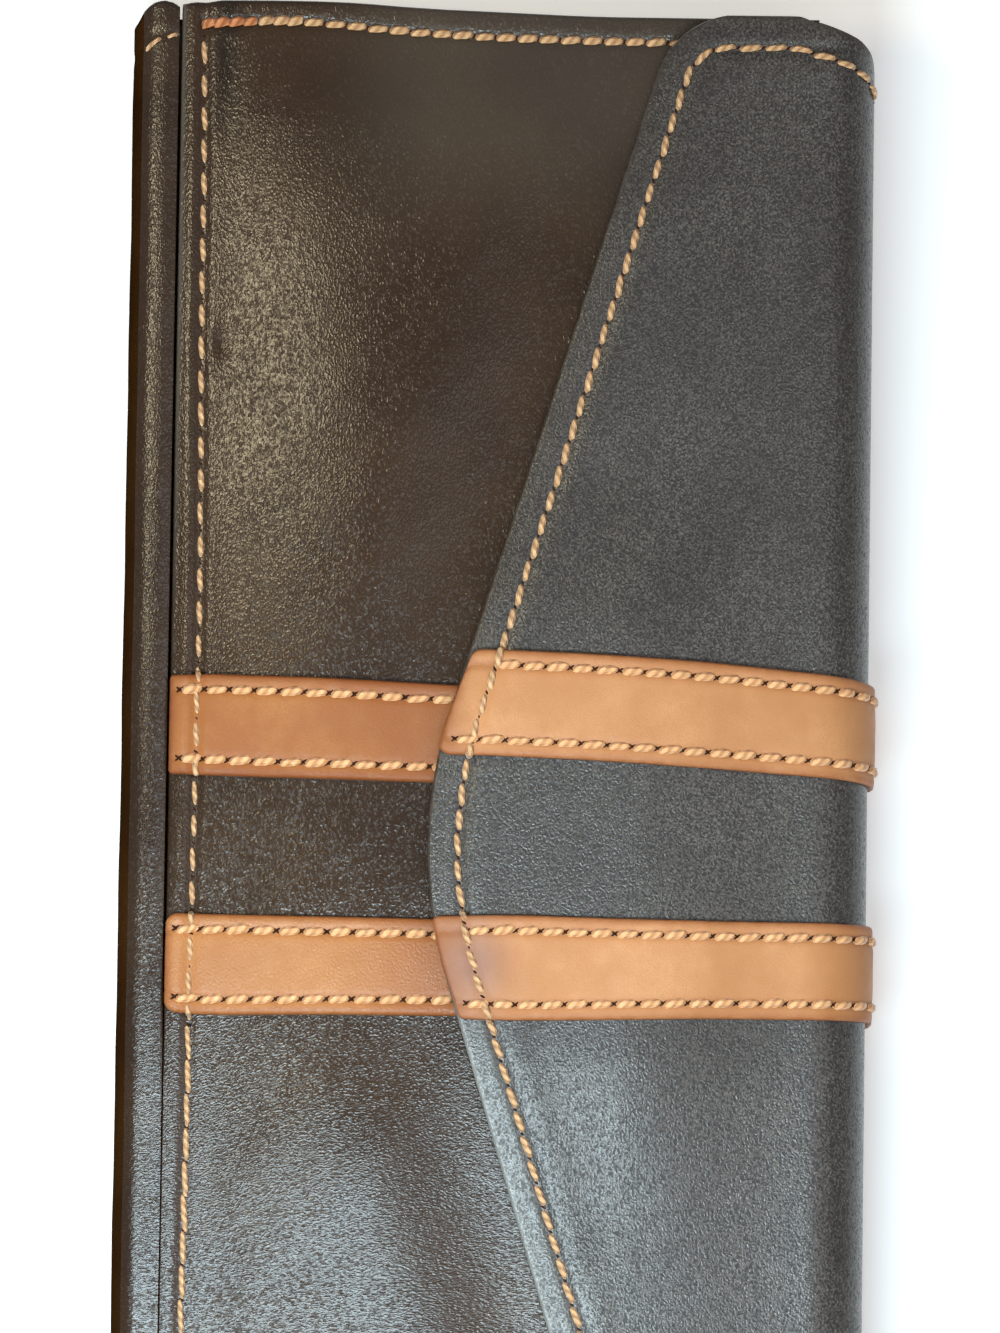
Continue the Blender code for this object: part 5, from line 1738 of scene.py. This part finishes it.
@dataclass
class Flap(SubAssembly):
    """Flap from the middle of the side over the front, with its lining, straps and seams."""

    step: float = 0.9
    reach: float = 60.0
    margin: float = 6.2
    end_margin: float = 4.1
    board_rise: float = 1.1
    lining_depth: float = 1.6
    lining_inset: float = 0.8
    seam_corner: float = 5.5
    seam: StitchStyle = StitchStyle(3.1, 0.84, 0.98, 0.34, 0.24, (0.36, 0.15), 45.0, False, 0.6, 2.6)
    strap_seam: StitchStyle = StitchStyle(3.05, 1.06, 0.96, 0.34, 0.12, (0.58, 0.13), 36.0, True, 0.52, 3.0)

    def build(self) -> None:
        """Build skin, lining, seam and straps, laid round the front corner of the turn."""
        self.skin()
        self.lining()
        rows = [(self.seam_track(), self.seam)]
        self.stitch("flap_seam", rows, 7, self.finishes.thread, "flap_seam_thread")
        self.pierce("flap_seam_holes", rows)
        for end in End:
            self.strap(end)

    def carry(self, obj: bpy.types.Object) -> None:
        """Bake a piece's placement into its mesh."""
        bend_front(obj)

    def grid(self, set_in: float) -> tuple[Array, Array]:
        """Grid of x and s over the flap, rows parallel to its cut edge near it.

        Args:
            set_in: how far it stays inside the flap's outline.

        Returns:
            Places along the wallet and walked lengths.
        """
        share = margin_steps(2.0 * SIZE.flap_half, self.step) / SIZE.flap_half - 1.0
        reach = margin_steps(self.reach, self.step, True, False)
        share, reach = np.meshgrid(share, reach, indexing="ij")
        start = cut_length(share * (SIZE.flap_half - set_in)) + set_in
        rest = (FLAP_PATH.length - start - self.margin) * (reach - self.margin) / (self.reach - self.margin)
        s = np.where(reach <= self.margin, start + reach, start + self.margin + rest)
        return share * (flap_half_length(s) - set_in), s

    def carried(self, x: Array, y: Array) -> Array:
        """Rise of what lies under the flap, faded out round the turn."""
        return (crown(x, y) + strap_ride(x, y)) * smooth(SIZE.y_turn + 1.5 - y, 5.0)

    def skin(self) -> None:
        """The flap's leather; towards the foot a painted highlight along its cut edge and painted sheen
        inside it.
        """
        x, s = self.grid(0.0)
        y, lift = FLAP_PATH.y_at(s), flap_base(x, s)
        outer = FLAP_PATH.at(x, s, lift)
        inner = FLAP_PATH.at(x, s, np.minimum(lift - 0.6, self.carried(x, y) - SIZE.leather))
        on_flat = s < self.reach
        edge = np.minimum(flap_half_length(s) - np.abs(x), np.where(on_flat, y - flap_edge(x), FAR))
        from_cut = (y - flap_edge(x)) * SIZE.slant_cos
        # Painted highlight along the cut edge and painted sheen over the margin inside it, towards the foot.
        pale = 0.5 * bell(from_cut - 0.2, 0.35) + 0.12 * (1.0 - smooth(from_cut - 2.4, 1.4))
        obj = mark(shell("flap_skin", outer, inner), edge=edge, pale=pale * smooth(x - 12.0, 14.0) * on_flat)
        dress(obj, self.finishes.flap, self.finishes.edge)
        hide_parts("flap_leather", "turn_leather")
        self.settle(obj, "outer_leather")

    def lining(self) -> None:
        """The flap's lining: flat under its board, drawn close to the leather round the turn."""
        x, s = self.grid(self.lining_inset)
        y = FLAP_PATH.y_at(s)
        over_board = smooth(SIZE.turn_y + 1.0 - y, 5.0) * smooth(flap_margin(x, y) - 1.4, 2.6)
        top = self.carried(x, y) - (self.lining_depth + self.board_rise * over_board)
        obj = shell("flap_lining_skin", FLAP_PATH.at(x, s, top), FLAP_PATH.at(x, s, top - SIZE.lining))
        dress(obj, self.finishes.lining, self.finishes.edge)
        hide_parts("flap_lining", "turn_lining")
        self.settle(obj, "lining_leather")

    def seam_track(self) -> Track:
        """Seam inside the flap's outline, from the turn round both corners and back to the turn.

        Returns:
            Track along the head end, a corner arc that touches both lines, the slants and the foot end.
        """
        centre_x = SIZE.flap_half - self.end_margin - self.seam_corner
        off_line = SIZE.edge_margin / SIZE.slant_cos
        centre_y = float(flap_edge(np.array(centre_x))) + off_line + self.seam_corner / SIZE.slant_cos
        s_side = np.linspace(FLAP_PATH.length - 4.2, centre_y - FLAP_START, 200)
        side = np.stack([-(flap_half_length(s_side) - self.end_margin), s_side + FLAP_START], -1)
        angle = np.radians(np.linspace(180.0, 270.0 - SIZE.slant, 40))[1:]
        around = self.seam_corner * np.stack([np.cos(angle), np.sin(angle)], -1)
        corner = np.array([-centre_x, centre_y]) + around
        x = np.linspace(corner[-1, 0], 0.0, 900)[1:]
        edge = np.stack([x, flap_edge(x) + off_line + (SIZE.edge_margin - off_line) * bell(x, 12.0)], -1)
        half = np.concatenate([side, corner, edge])
        half[:, 1] -= FLAP_START
        whole = np.concatenate([half, half[-2::-1] * np.array([-1.0, 1.0])])
        return track_on(FLAP_PATH, FLAP_TOP, whole[:, 0], whole[:, 1])

    def strap(self, end: End) -> None:
        """One strap over the flap and half way down the side, with its stitches.

        Args:
            end: the wallet's end that it is nearer to.
        """
        form, name = FLAP_STRAPS[end], end.name.lower()
        obj, x, s = strap_shell(f"flap_strap_{name}_skin", FLAP_PATH, form, flap_base, strap_start,
                                FLAP_PATH.length, (True, False))
        from_stain = np.hypot((x - 14.5) / 5.2, (s - 9.5) / 3.6) if end is End.FOOT else np.full_like(x, FAR)
        # Darker at the strap's tip by the flap's cut edge.
        mark(obj, tinge=0.55 * (1.0 - smooth(s - 6.0, 4.0)), stain=0.62 * bell(from_stain, 1.0))
        dress(obj, self.finishes.flap_strap, self.finishes.strap_edge)
        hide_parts(f"flap_strap_{name}", f"turn_strap_{name}")
        self.settle(obj, "strap_leather")
        tip = form.middle[0][1]
        starts = [float(cut_length(np.array(tip + side))) + gap for side, gap in ((-4.5, 4.0), (4.5, 1.6))]
        rows = strap_rows(FLAP_PATH, form, flap_base, starts, FLAP_PATH.length - 0.6, 400, self.strap_seam)
        self.stitch(f"flap_strap_seam_{name}", rows, 31 + int(end.value), self.finishes.strap_thread,
                    f"flap_strap_thread_{name}")
        self.pierce(f"flap_strap_holes_{name}", rows)


@dataclass
class Back(SubAssembly):
    """Back from the middle of the side under the wallet, round the rolled fold to the groove."""

    step: float = 1.3
    lining_step: float = 2.0
    lobe_from_y: float = -45.0
    lobe_width: float = 9.0
    turn_finish: float = 20.0
    lining_z: float = 4.65
    lining_half: float = 104.0
    lining_start: float = -37.7
    seam_start: float = 34.0
    seam_fold_y: float = -40.0
    strap_stop_y: float = -39.2
    seam: StitchStyle = StitchStyle(3.4, 0.8, 0.88, 0.3, 0.12, (0.34, 0.17), 45.0)
    strap_seam: StitchStyle = StitchStyle(3.05, 0.8, 0.84, 0.5, 0.0, (0.5, 0.17), 42.0, True)
    fold_seam: StitchStyle = StitchStyle(2.6, 0.55, 0.92, 0.2, 0.14, (0.25, 0.14), 40.0)

    def build(self) -> None:
        """Build skin, linings, seams and straps, laid round the rear corner of the turn."""
        self.skin()
        self.turn_lining()
        self.back_lining()
        self.seams()
        for end in End:
            self.strap(end)

    def carry(self, obj: bpy.types.Object) -> None:
        """Bake a piece's placement into its mesh."""
        bend_rear(obj)

    def skin(self) -> None:
        """The back's leather: the flap's finish on the turn, the lobe's on top of the roll."""
        along, end = lengthwise(self.step), BACK_PATH.length
        across = np.concatenate([
            np.linspace(0.0, 16.0, 24), np.linspace(17.5, 90.0, 50),
            np.linspace(91.0, end - 3.6, 36), np.linspace(end - 3.4, end, 18),
        ])
        share, s = np.meshgrid(along, across, indexing="ij")
        x = share * back_half_length(s)
        outer = BACK_PATH.at(x, s, back_relief(x, s))
        inner = BACK_PATH.at(x, s, np.full_like(x, -SIZE.leather))
        edge = np.minimum(back_half_length(s) - np.abs(x), end - s)
        # Painted sheen: greyer and coated towards the turn, carrying the flap's painted-sheen grey onto the
        # back.
        obj = mark(shell("back_skin", outer, inner), edge=edge, ashen=0.9 * (1.0 - smooth(s - 25.0, 75.0)))
        dress(obj, self.finishes.back, self.finishes.edge, self.finishes.lobe, self.finishes.flap)
        near = across[1:]
        # One leather in copies: the lobe's lit copy on the roll's top, the darker unreflecting copy as
        # painted shade on the flank, and the flap's painted-sheen grey on the turn.
        on_lobe = (BACK_PATH.y_at(near) > self.lobe_from_y) & (near > end - self.lobe_width)
        which = np.tile(np.where(near < self.turn_finish, 3, np.where(on_lobe, 2, 0)), len(along) - 1)
        slots = np.zeros(len(obj.data.polygons), np.int32)
        obj.data.polygons.foreach_get("material_index", slots)
        slots[: len(which)] = which
        obj.data.polygons.foreach_set("material_index", slots)
        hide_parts("back_leather")
        self.settle(obj, "outer_leather")

    def turn_lining(self) -> None:
        """Lining of the turn's lower half, from the middle of the side to the lining of the back."""
        across = np.linspace(0.0, BACK_FLAT_START + 5.0, 30)
        share, s = np.meshgrid(lengthwise(self.lining_step), across, indexing="ij")
        x = share * (back_half_length(s) - 0.8)
        depth = np.full_like(x, -1.65)
        obj = shell("turn_lining_skin", BACK_PATH.at(x, s, depth), BACK_PATH.at(x, s, depth - SIZE.lining))
        dress(obj, self.finishes.lining, self.finishes.edge)
        self.settle(obj, "lining_leather")

    def back_lining(self) -> None:
        """Flat lining of the back, drawn in towards the turn as the leather is."""
        across = np.linspace(self.lining_start, SIZE.turn_y, 70)
        share, y = np.meshgrid(lengthwise(self.lining_step), across, indexing="ij")
        x = share * np.minimum(self.lining_half, back_half_length(back_length(y)) - 1.0)
        outer = np.stack([x, y, np.full_like(x, self.lining_z)], -1)
        obj = shell("back_lining_skin", outer, outer - np.array([0.0, 0.0, SIZE.lining]))
        dress(obj, self.finishes.lining, self.finishes.edge)
        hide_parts("back_lining")
        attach(obj, "wallet_back")
        LOG.info("%s: %d faces", obj.name, len(obj.data.polygons))

    def seams(self) -> None:
        """Seam under the back near its ends and the fold, and the stitches that close the roll's ends."""
        s = back_length(np.linspace(self.seam_start, self.seam_fold_y, 400))
        rows = []
        for end in End:
            x = np.full_like(s, end.value * (SIZE.half_length - SIZE.end_margin))
            rows.append((track_on(BACK_PATH, back_relief, x, s), self.seam))
        x = np.linspace(-101.8, 101.8, 900)
        rows.append((track_on(BACK_PATH, back_relief, x, np.full_like(x, s[-1])), self.seam))
        self.stitch("back_seam", rows, 41, self.finishes.thread, "back_seam_thread")
        before_lip = np.linspace(-0.7, -6.4, 60)
        reach = through(before_lip, ((-6.4, 98.4), (-4.4, 99.9), (-2.4, 100.5), (-0.7, 100.7)))
        for end in End:
            track = track_on(BACK_PATH, back_relief, end.value * reach, BACK_PATH.length + before_lip)
            name = end.name.lower()
            self.stitch(f"fold_seam_{name}", [(track, self.fold_seam)], 43, self.finishes.thread,
                        f"fold_stitch_{name}")

    def strap(self, end: End) -> None:
        """One strap down the side and under the back, with its stitches.

        Args:
            end: the wallet's end that it is nearer to.
        """
        form, name = BACK_STRAPS[end], end.name.lower()
        stop = float(back_length(np.array(self.strap_stop_y)))
        obj, _, _ = strap_shell(f"back_strap_{name}_skin", BACK_PATH, form, back_relief, 0.0, stop,
                                (False, True))
        dress(obj, self.finishes.flap_strap, self.finishes.strap_edge)
        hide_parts(f"back_strap_{name}")
        self.settle(obj, "strap_leather")
        rows = strap_rows(BACK_PATH, form, back_relief, (0.8, 0.8), stop - 1.8, 400, self.strap_seam,
                          sunk=0.2)
        self.stitch(f"back_strap_seam_{name}", rows, 51 + int(end.value), self.finishes.strap_thread)


@dataclass
class Gussets(SubAssembly):
    """Folded gussets that close both ends between the back and the front."""

    outer: float = 102.5
    depth: float = 6.6
    low: float = 4.95
    high: float = 14.6
    start: float = -38.6
    stop: float = 34.6
    thick: float = 0.6

    def build(self) -> None:
        """Build both gussets, stretched between the back and the front panel."""
        for end in End:
            self.gusset(end)

    def carry(self, obj: bpy.types.Object) -> None:
        """Bake a gusset's placement into its mesh."""
        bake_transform(obj)

    def gusset(self, end: End) -> None:
        """One gusset: x = outer - depth * sin(pi*w)^0.9 at share w of its height, a little wavy along y.

        Args:
            end: the wallet's end that it closes.
        """
        w, y = np.meshgrid(np.linspace(0.0, 1.0, 25), np.linspace(self.start, self.stop, 60))
        if end is End.HEAD:
            w, y = w[::-1], y[::-1]
        fold = np.sin(np.pi * w) ** 0.9
        x = self.outer - self.depth * fold + 0.2 * wander(5.0, y, 6.0 * w, 17.0) * fold
        z = self.low + (self.high - self.low) * w
        outer = np.stack([end.value * x, y, z], -1)
        inner = np.stack([end.value * (x - self.thick), y, z], -1)
        name = f"gusset_{end.name.lower()}"
        obj = mark(shell(f"{name}_skin", outer, inner), edge=np.minimum(y - self.start, self.stop - y))
        dress(obj, self.finishes.lining, self.finishes.edge)
        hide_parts(name)
        self.settle(obj, "lining_leather")


@dataclass
class Inside:
    """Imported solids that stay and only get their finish."""

    finishes: Finishes

    def build(self) -> None:
        """Give every node that still shows its material."""
        for name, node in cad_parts.items():
            if node.hide_render:
                continue
            node.data.materials.clear()
            node.data.materials.append(self.pick(name))
            LOG.info("%s keeps its solid", name)

    def pick(self, name: str) -> bpy.types.Material:
        """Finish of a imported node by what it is.

        Args:
            name: the node's name.

        Returns:
            Its material.
        """
        known = {
            "tape": self.finishes.tape, "zip": self.finishes.brass, "board": self.finishes.board,
            "foam": self.finishes.felt, "magnet": self.finishes.steel,
        }
        return next((finish for word, finish in known.items() if word in name), self.finishes.lining)


# Studio

@dataclass(frozen=True)
class Lamp:
    """One soft rectangular lamp: place and target in millimetres, size in metres, light in watts."""

    name: str
    place: tuple[float, float, float]
    target: tuple[float, float, float]
    size: tuple[float, float]
    watts: float
    colour: Colour

    def hang(self) -> None:
        """Hang the lamp so that it faces its target."""
        data = bpy.data.lights.new(self.name, "AREA")
        data.shape = "RECTANGLE"
        data.size, data.size_y = self.size
        data.energy = self.watts
        data.color = linear(self.colour)[:3]
        obj = bpy.data.objects.new(self.name, data)
        away = np.array(self.place) - np.array(self.target)
        obj.matrix_world = aim(np.array(self.place), away)
        bpy.context.scene.collection.objects.link(obj)


def aim(place: Array, away: Array) -> Matrix:
    """Placement at a point in millimetres whose own -Z looks against a direction.

    Args:
        place: the point.
        away: direction from the target to it.

    Returns:
        The placement.
    """
    back = away / np.linalg.norm(away)
    across = np.array([0.0, 1.0, 0.0]) if abs(back[1]) < 0.9 else np.array([1.0, 0.0, 0.0])
    side = np.cross(across, back)
    side = side / np.linalg.norm(side)
    turned = np.eye(4)
    turned[:3, 0], turned[:3, 1], turned[:3, 2] = side, np.cross(back, side), back
    turned[:3, 3] = place * MM
    return Matrix(turned.tolist())


@dataclass(frozen=True)
class Studio:
    """Pale floor, soft lamps and the camera of the photograph."""

    target: tuple[float, float, float] = (-22.76, -0.14, 15.0)
    distance: float = 1000.0
    tilt: tuple[float, float, float] = (-0.874, 5.241, 0.741)
    lens: float = 219.14
    sensor: float = 36.0
    floor_half: float = 3000.0
    floor_z: float = -0.02
    floor_tone: float = 0.86
    floor_glow: float = 0.38
    sky_light: float = 0.15
    sky_seen: float = 0.42
    lamps: tuple[Lamp, ...] = (
        Lamp("foot_window", (84.0, -62.0, 280.0), (74.0, -26.0, 0.0), (0.07, 0.2), 1.3, (220, 243, 252)),
        Lamp("head_lamp", (-90.0, -127.0, 253.0), (-58.0, -32.0, 0.0), (0.06, 0.05), 0.2, (255, 240, 200)),
        Lamp("side_fill", (90.0, 300.0, 700.0), (30.0, 20.0, 0.0), (0.4, 0.4), 1.0, (248, 249, 252)),
        Lamp("key_light", (600.0, 500.0, 700.0), (0.0, 0.0, 0.0), (0.5, 0.5), 0.7, (255, 250, 244)),
    )

    def build(self) -> None:
        """Lay the floor, hang the lamps, set the sky and stand the camera."""
        self.floor()
        for lamp in self.lamps:
            lamp.hang()
        self.sky()
        self.camera()
        bpy.context.scene.view_settings.view_transform = "Standard"

    def floor(self) -> None:
        """A wide pale floor just under the wallet that shows near white and keeps the shadow."""
        half = self.floor_half
        signs = np.array([[-1.0, -1.0], [1.0, -1.0], [1.0, 1.0], [-1.0, 1.0]])
        corners = np.concatenate([signs * half, np.full((4, 1), self.floor_z)], -1)
        obj = put_mesh("studio_floor", corners, [np.array([[0, 1, 2, 3]])], [0])
        material, bench, shader = start_material("studio_floor_pale")
        shader.inputs["Base Color"].default_value = (self.floor_tone, self.floor_tone, self.floor_tone, 1.0)
        shader.inputs["Roughness"].default_value = 0.9
        shader.inputs["Emission Color"].default_value = (1.0, 1.0, 1.0, 1.0)
        bench.feed(shader.inputs["Emission Strength"], bench.math("MULTIPLY", bench.seen(), self.floor_glow))
        obj.data.materials.append(material)

    def sky(self) -> None:
        """Even sky that lights softly and shows pale grey to the camera and in gloss."""
        world = bpy.data.worlds.new("studio_sky")
        bpy.context.scene.world = world
        world.use_nodes = True
        bench = Bench(world.node_tree)
        back = world.node_tree.nodes["Background"]
        bench.feed(back.inputs["Strength"], bench.lerp(bench.seen(), self.sky_light, self.sky_seen))
        back.inputs["Color"].default_value = (1.0, 1.0, 1.0, 1.0)

    def camera(self) -> None:
        """Stand the camera where the photograph was taken from: R = Rz * Ry * Rx * base."""
        x, y, z = np.radians(self.tilt)
        turn_x = np.array([[1, 0, 0], [0, np.cos(x), -np.sin(x)], [0, np.sin(x), np.cos(x)]])
        turn_y = np.array([[np.cos(y), 0, np.sin(y)], [0, 1, 0], [-np.sin(y), 0, np.cos(y)]])
        turn_z = np.array([[np.cos(z), -np.sin(z), 0], [np.sin(z), np.cos(z), 0], [0, 0, 1]])
        base = np.array([[0.0, -1.0, 0.0], [1.0, 0.0, 0.0], [0.0, 0.0, 1.0]])
        turned = np.eye(4)
        turned[:3, :3] = turn_z @ turn_y @ turn_x @ base
        turned[:3, 3] = (np.array(self.target) + turned[:3, 2] * self.distance) * MM
        data = bpy.data.cameras.new("photograph_camera")
        data.sensor_fit, data.sensor_height, data.lens = "VERTICAL", self.sensor, self.lens
        data.clip_start, data.clip_end = 0.05, 20.0
        obj = bpy.data.objects.new("photograph_camera", data)
        obj.matrix_world = Matrix(turned.tolist())
        bpy.context.scene.collection.objects.link(obj)
        bpy.context.scene.camera = obj


def main() -> None:
    """Build every sub-assembly in order."""
    logging.basicConfig(level=logging.INFO, format="%(name)s: %(message)s")
    finishes = Finishes()
    for part in (Back(finishes), FrontPanel(finishes), Flap(finishes), Gussets(finishes), Inside(finishes)):
        part.build()
        LOG.info("%s built", type(part).__name__)
    Studio().build()


if __name__ == "__main__":
    main()
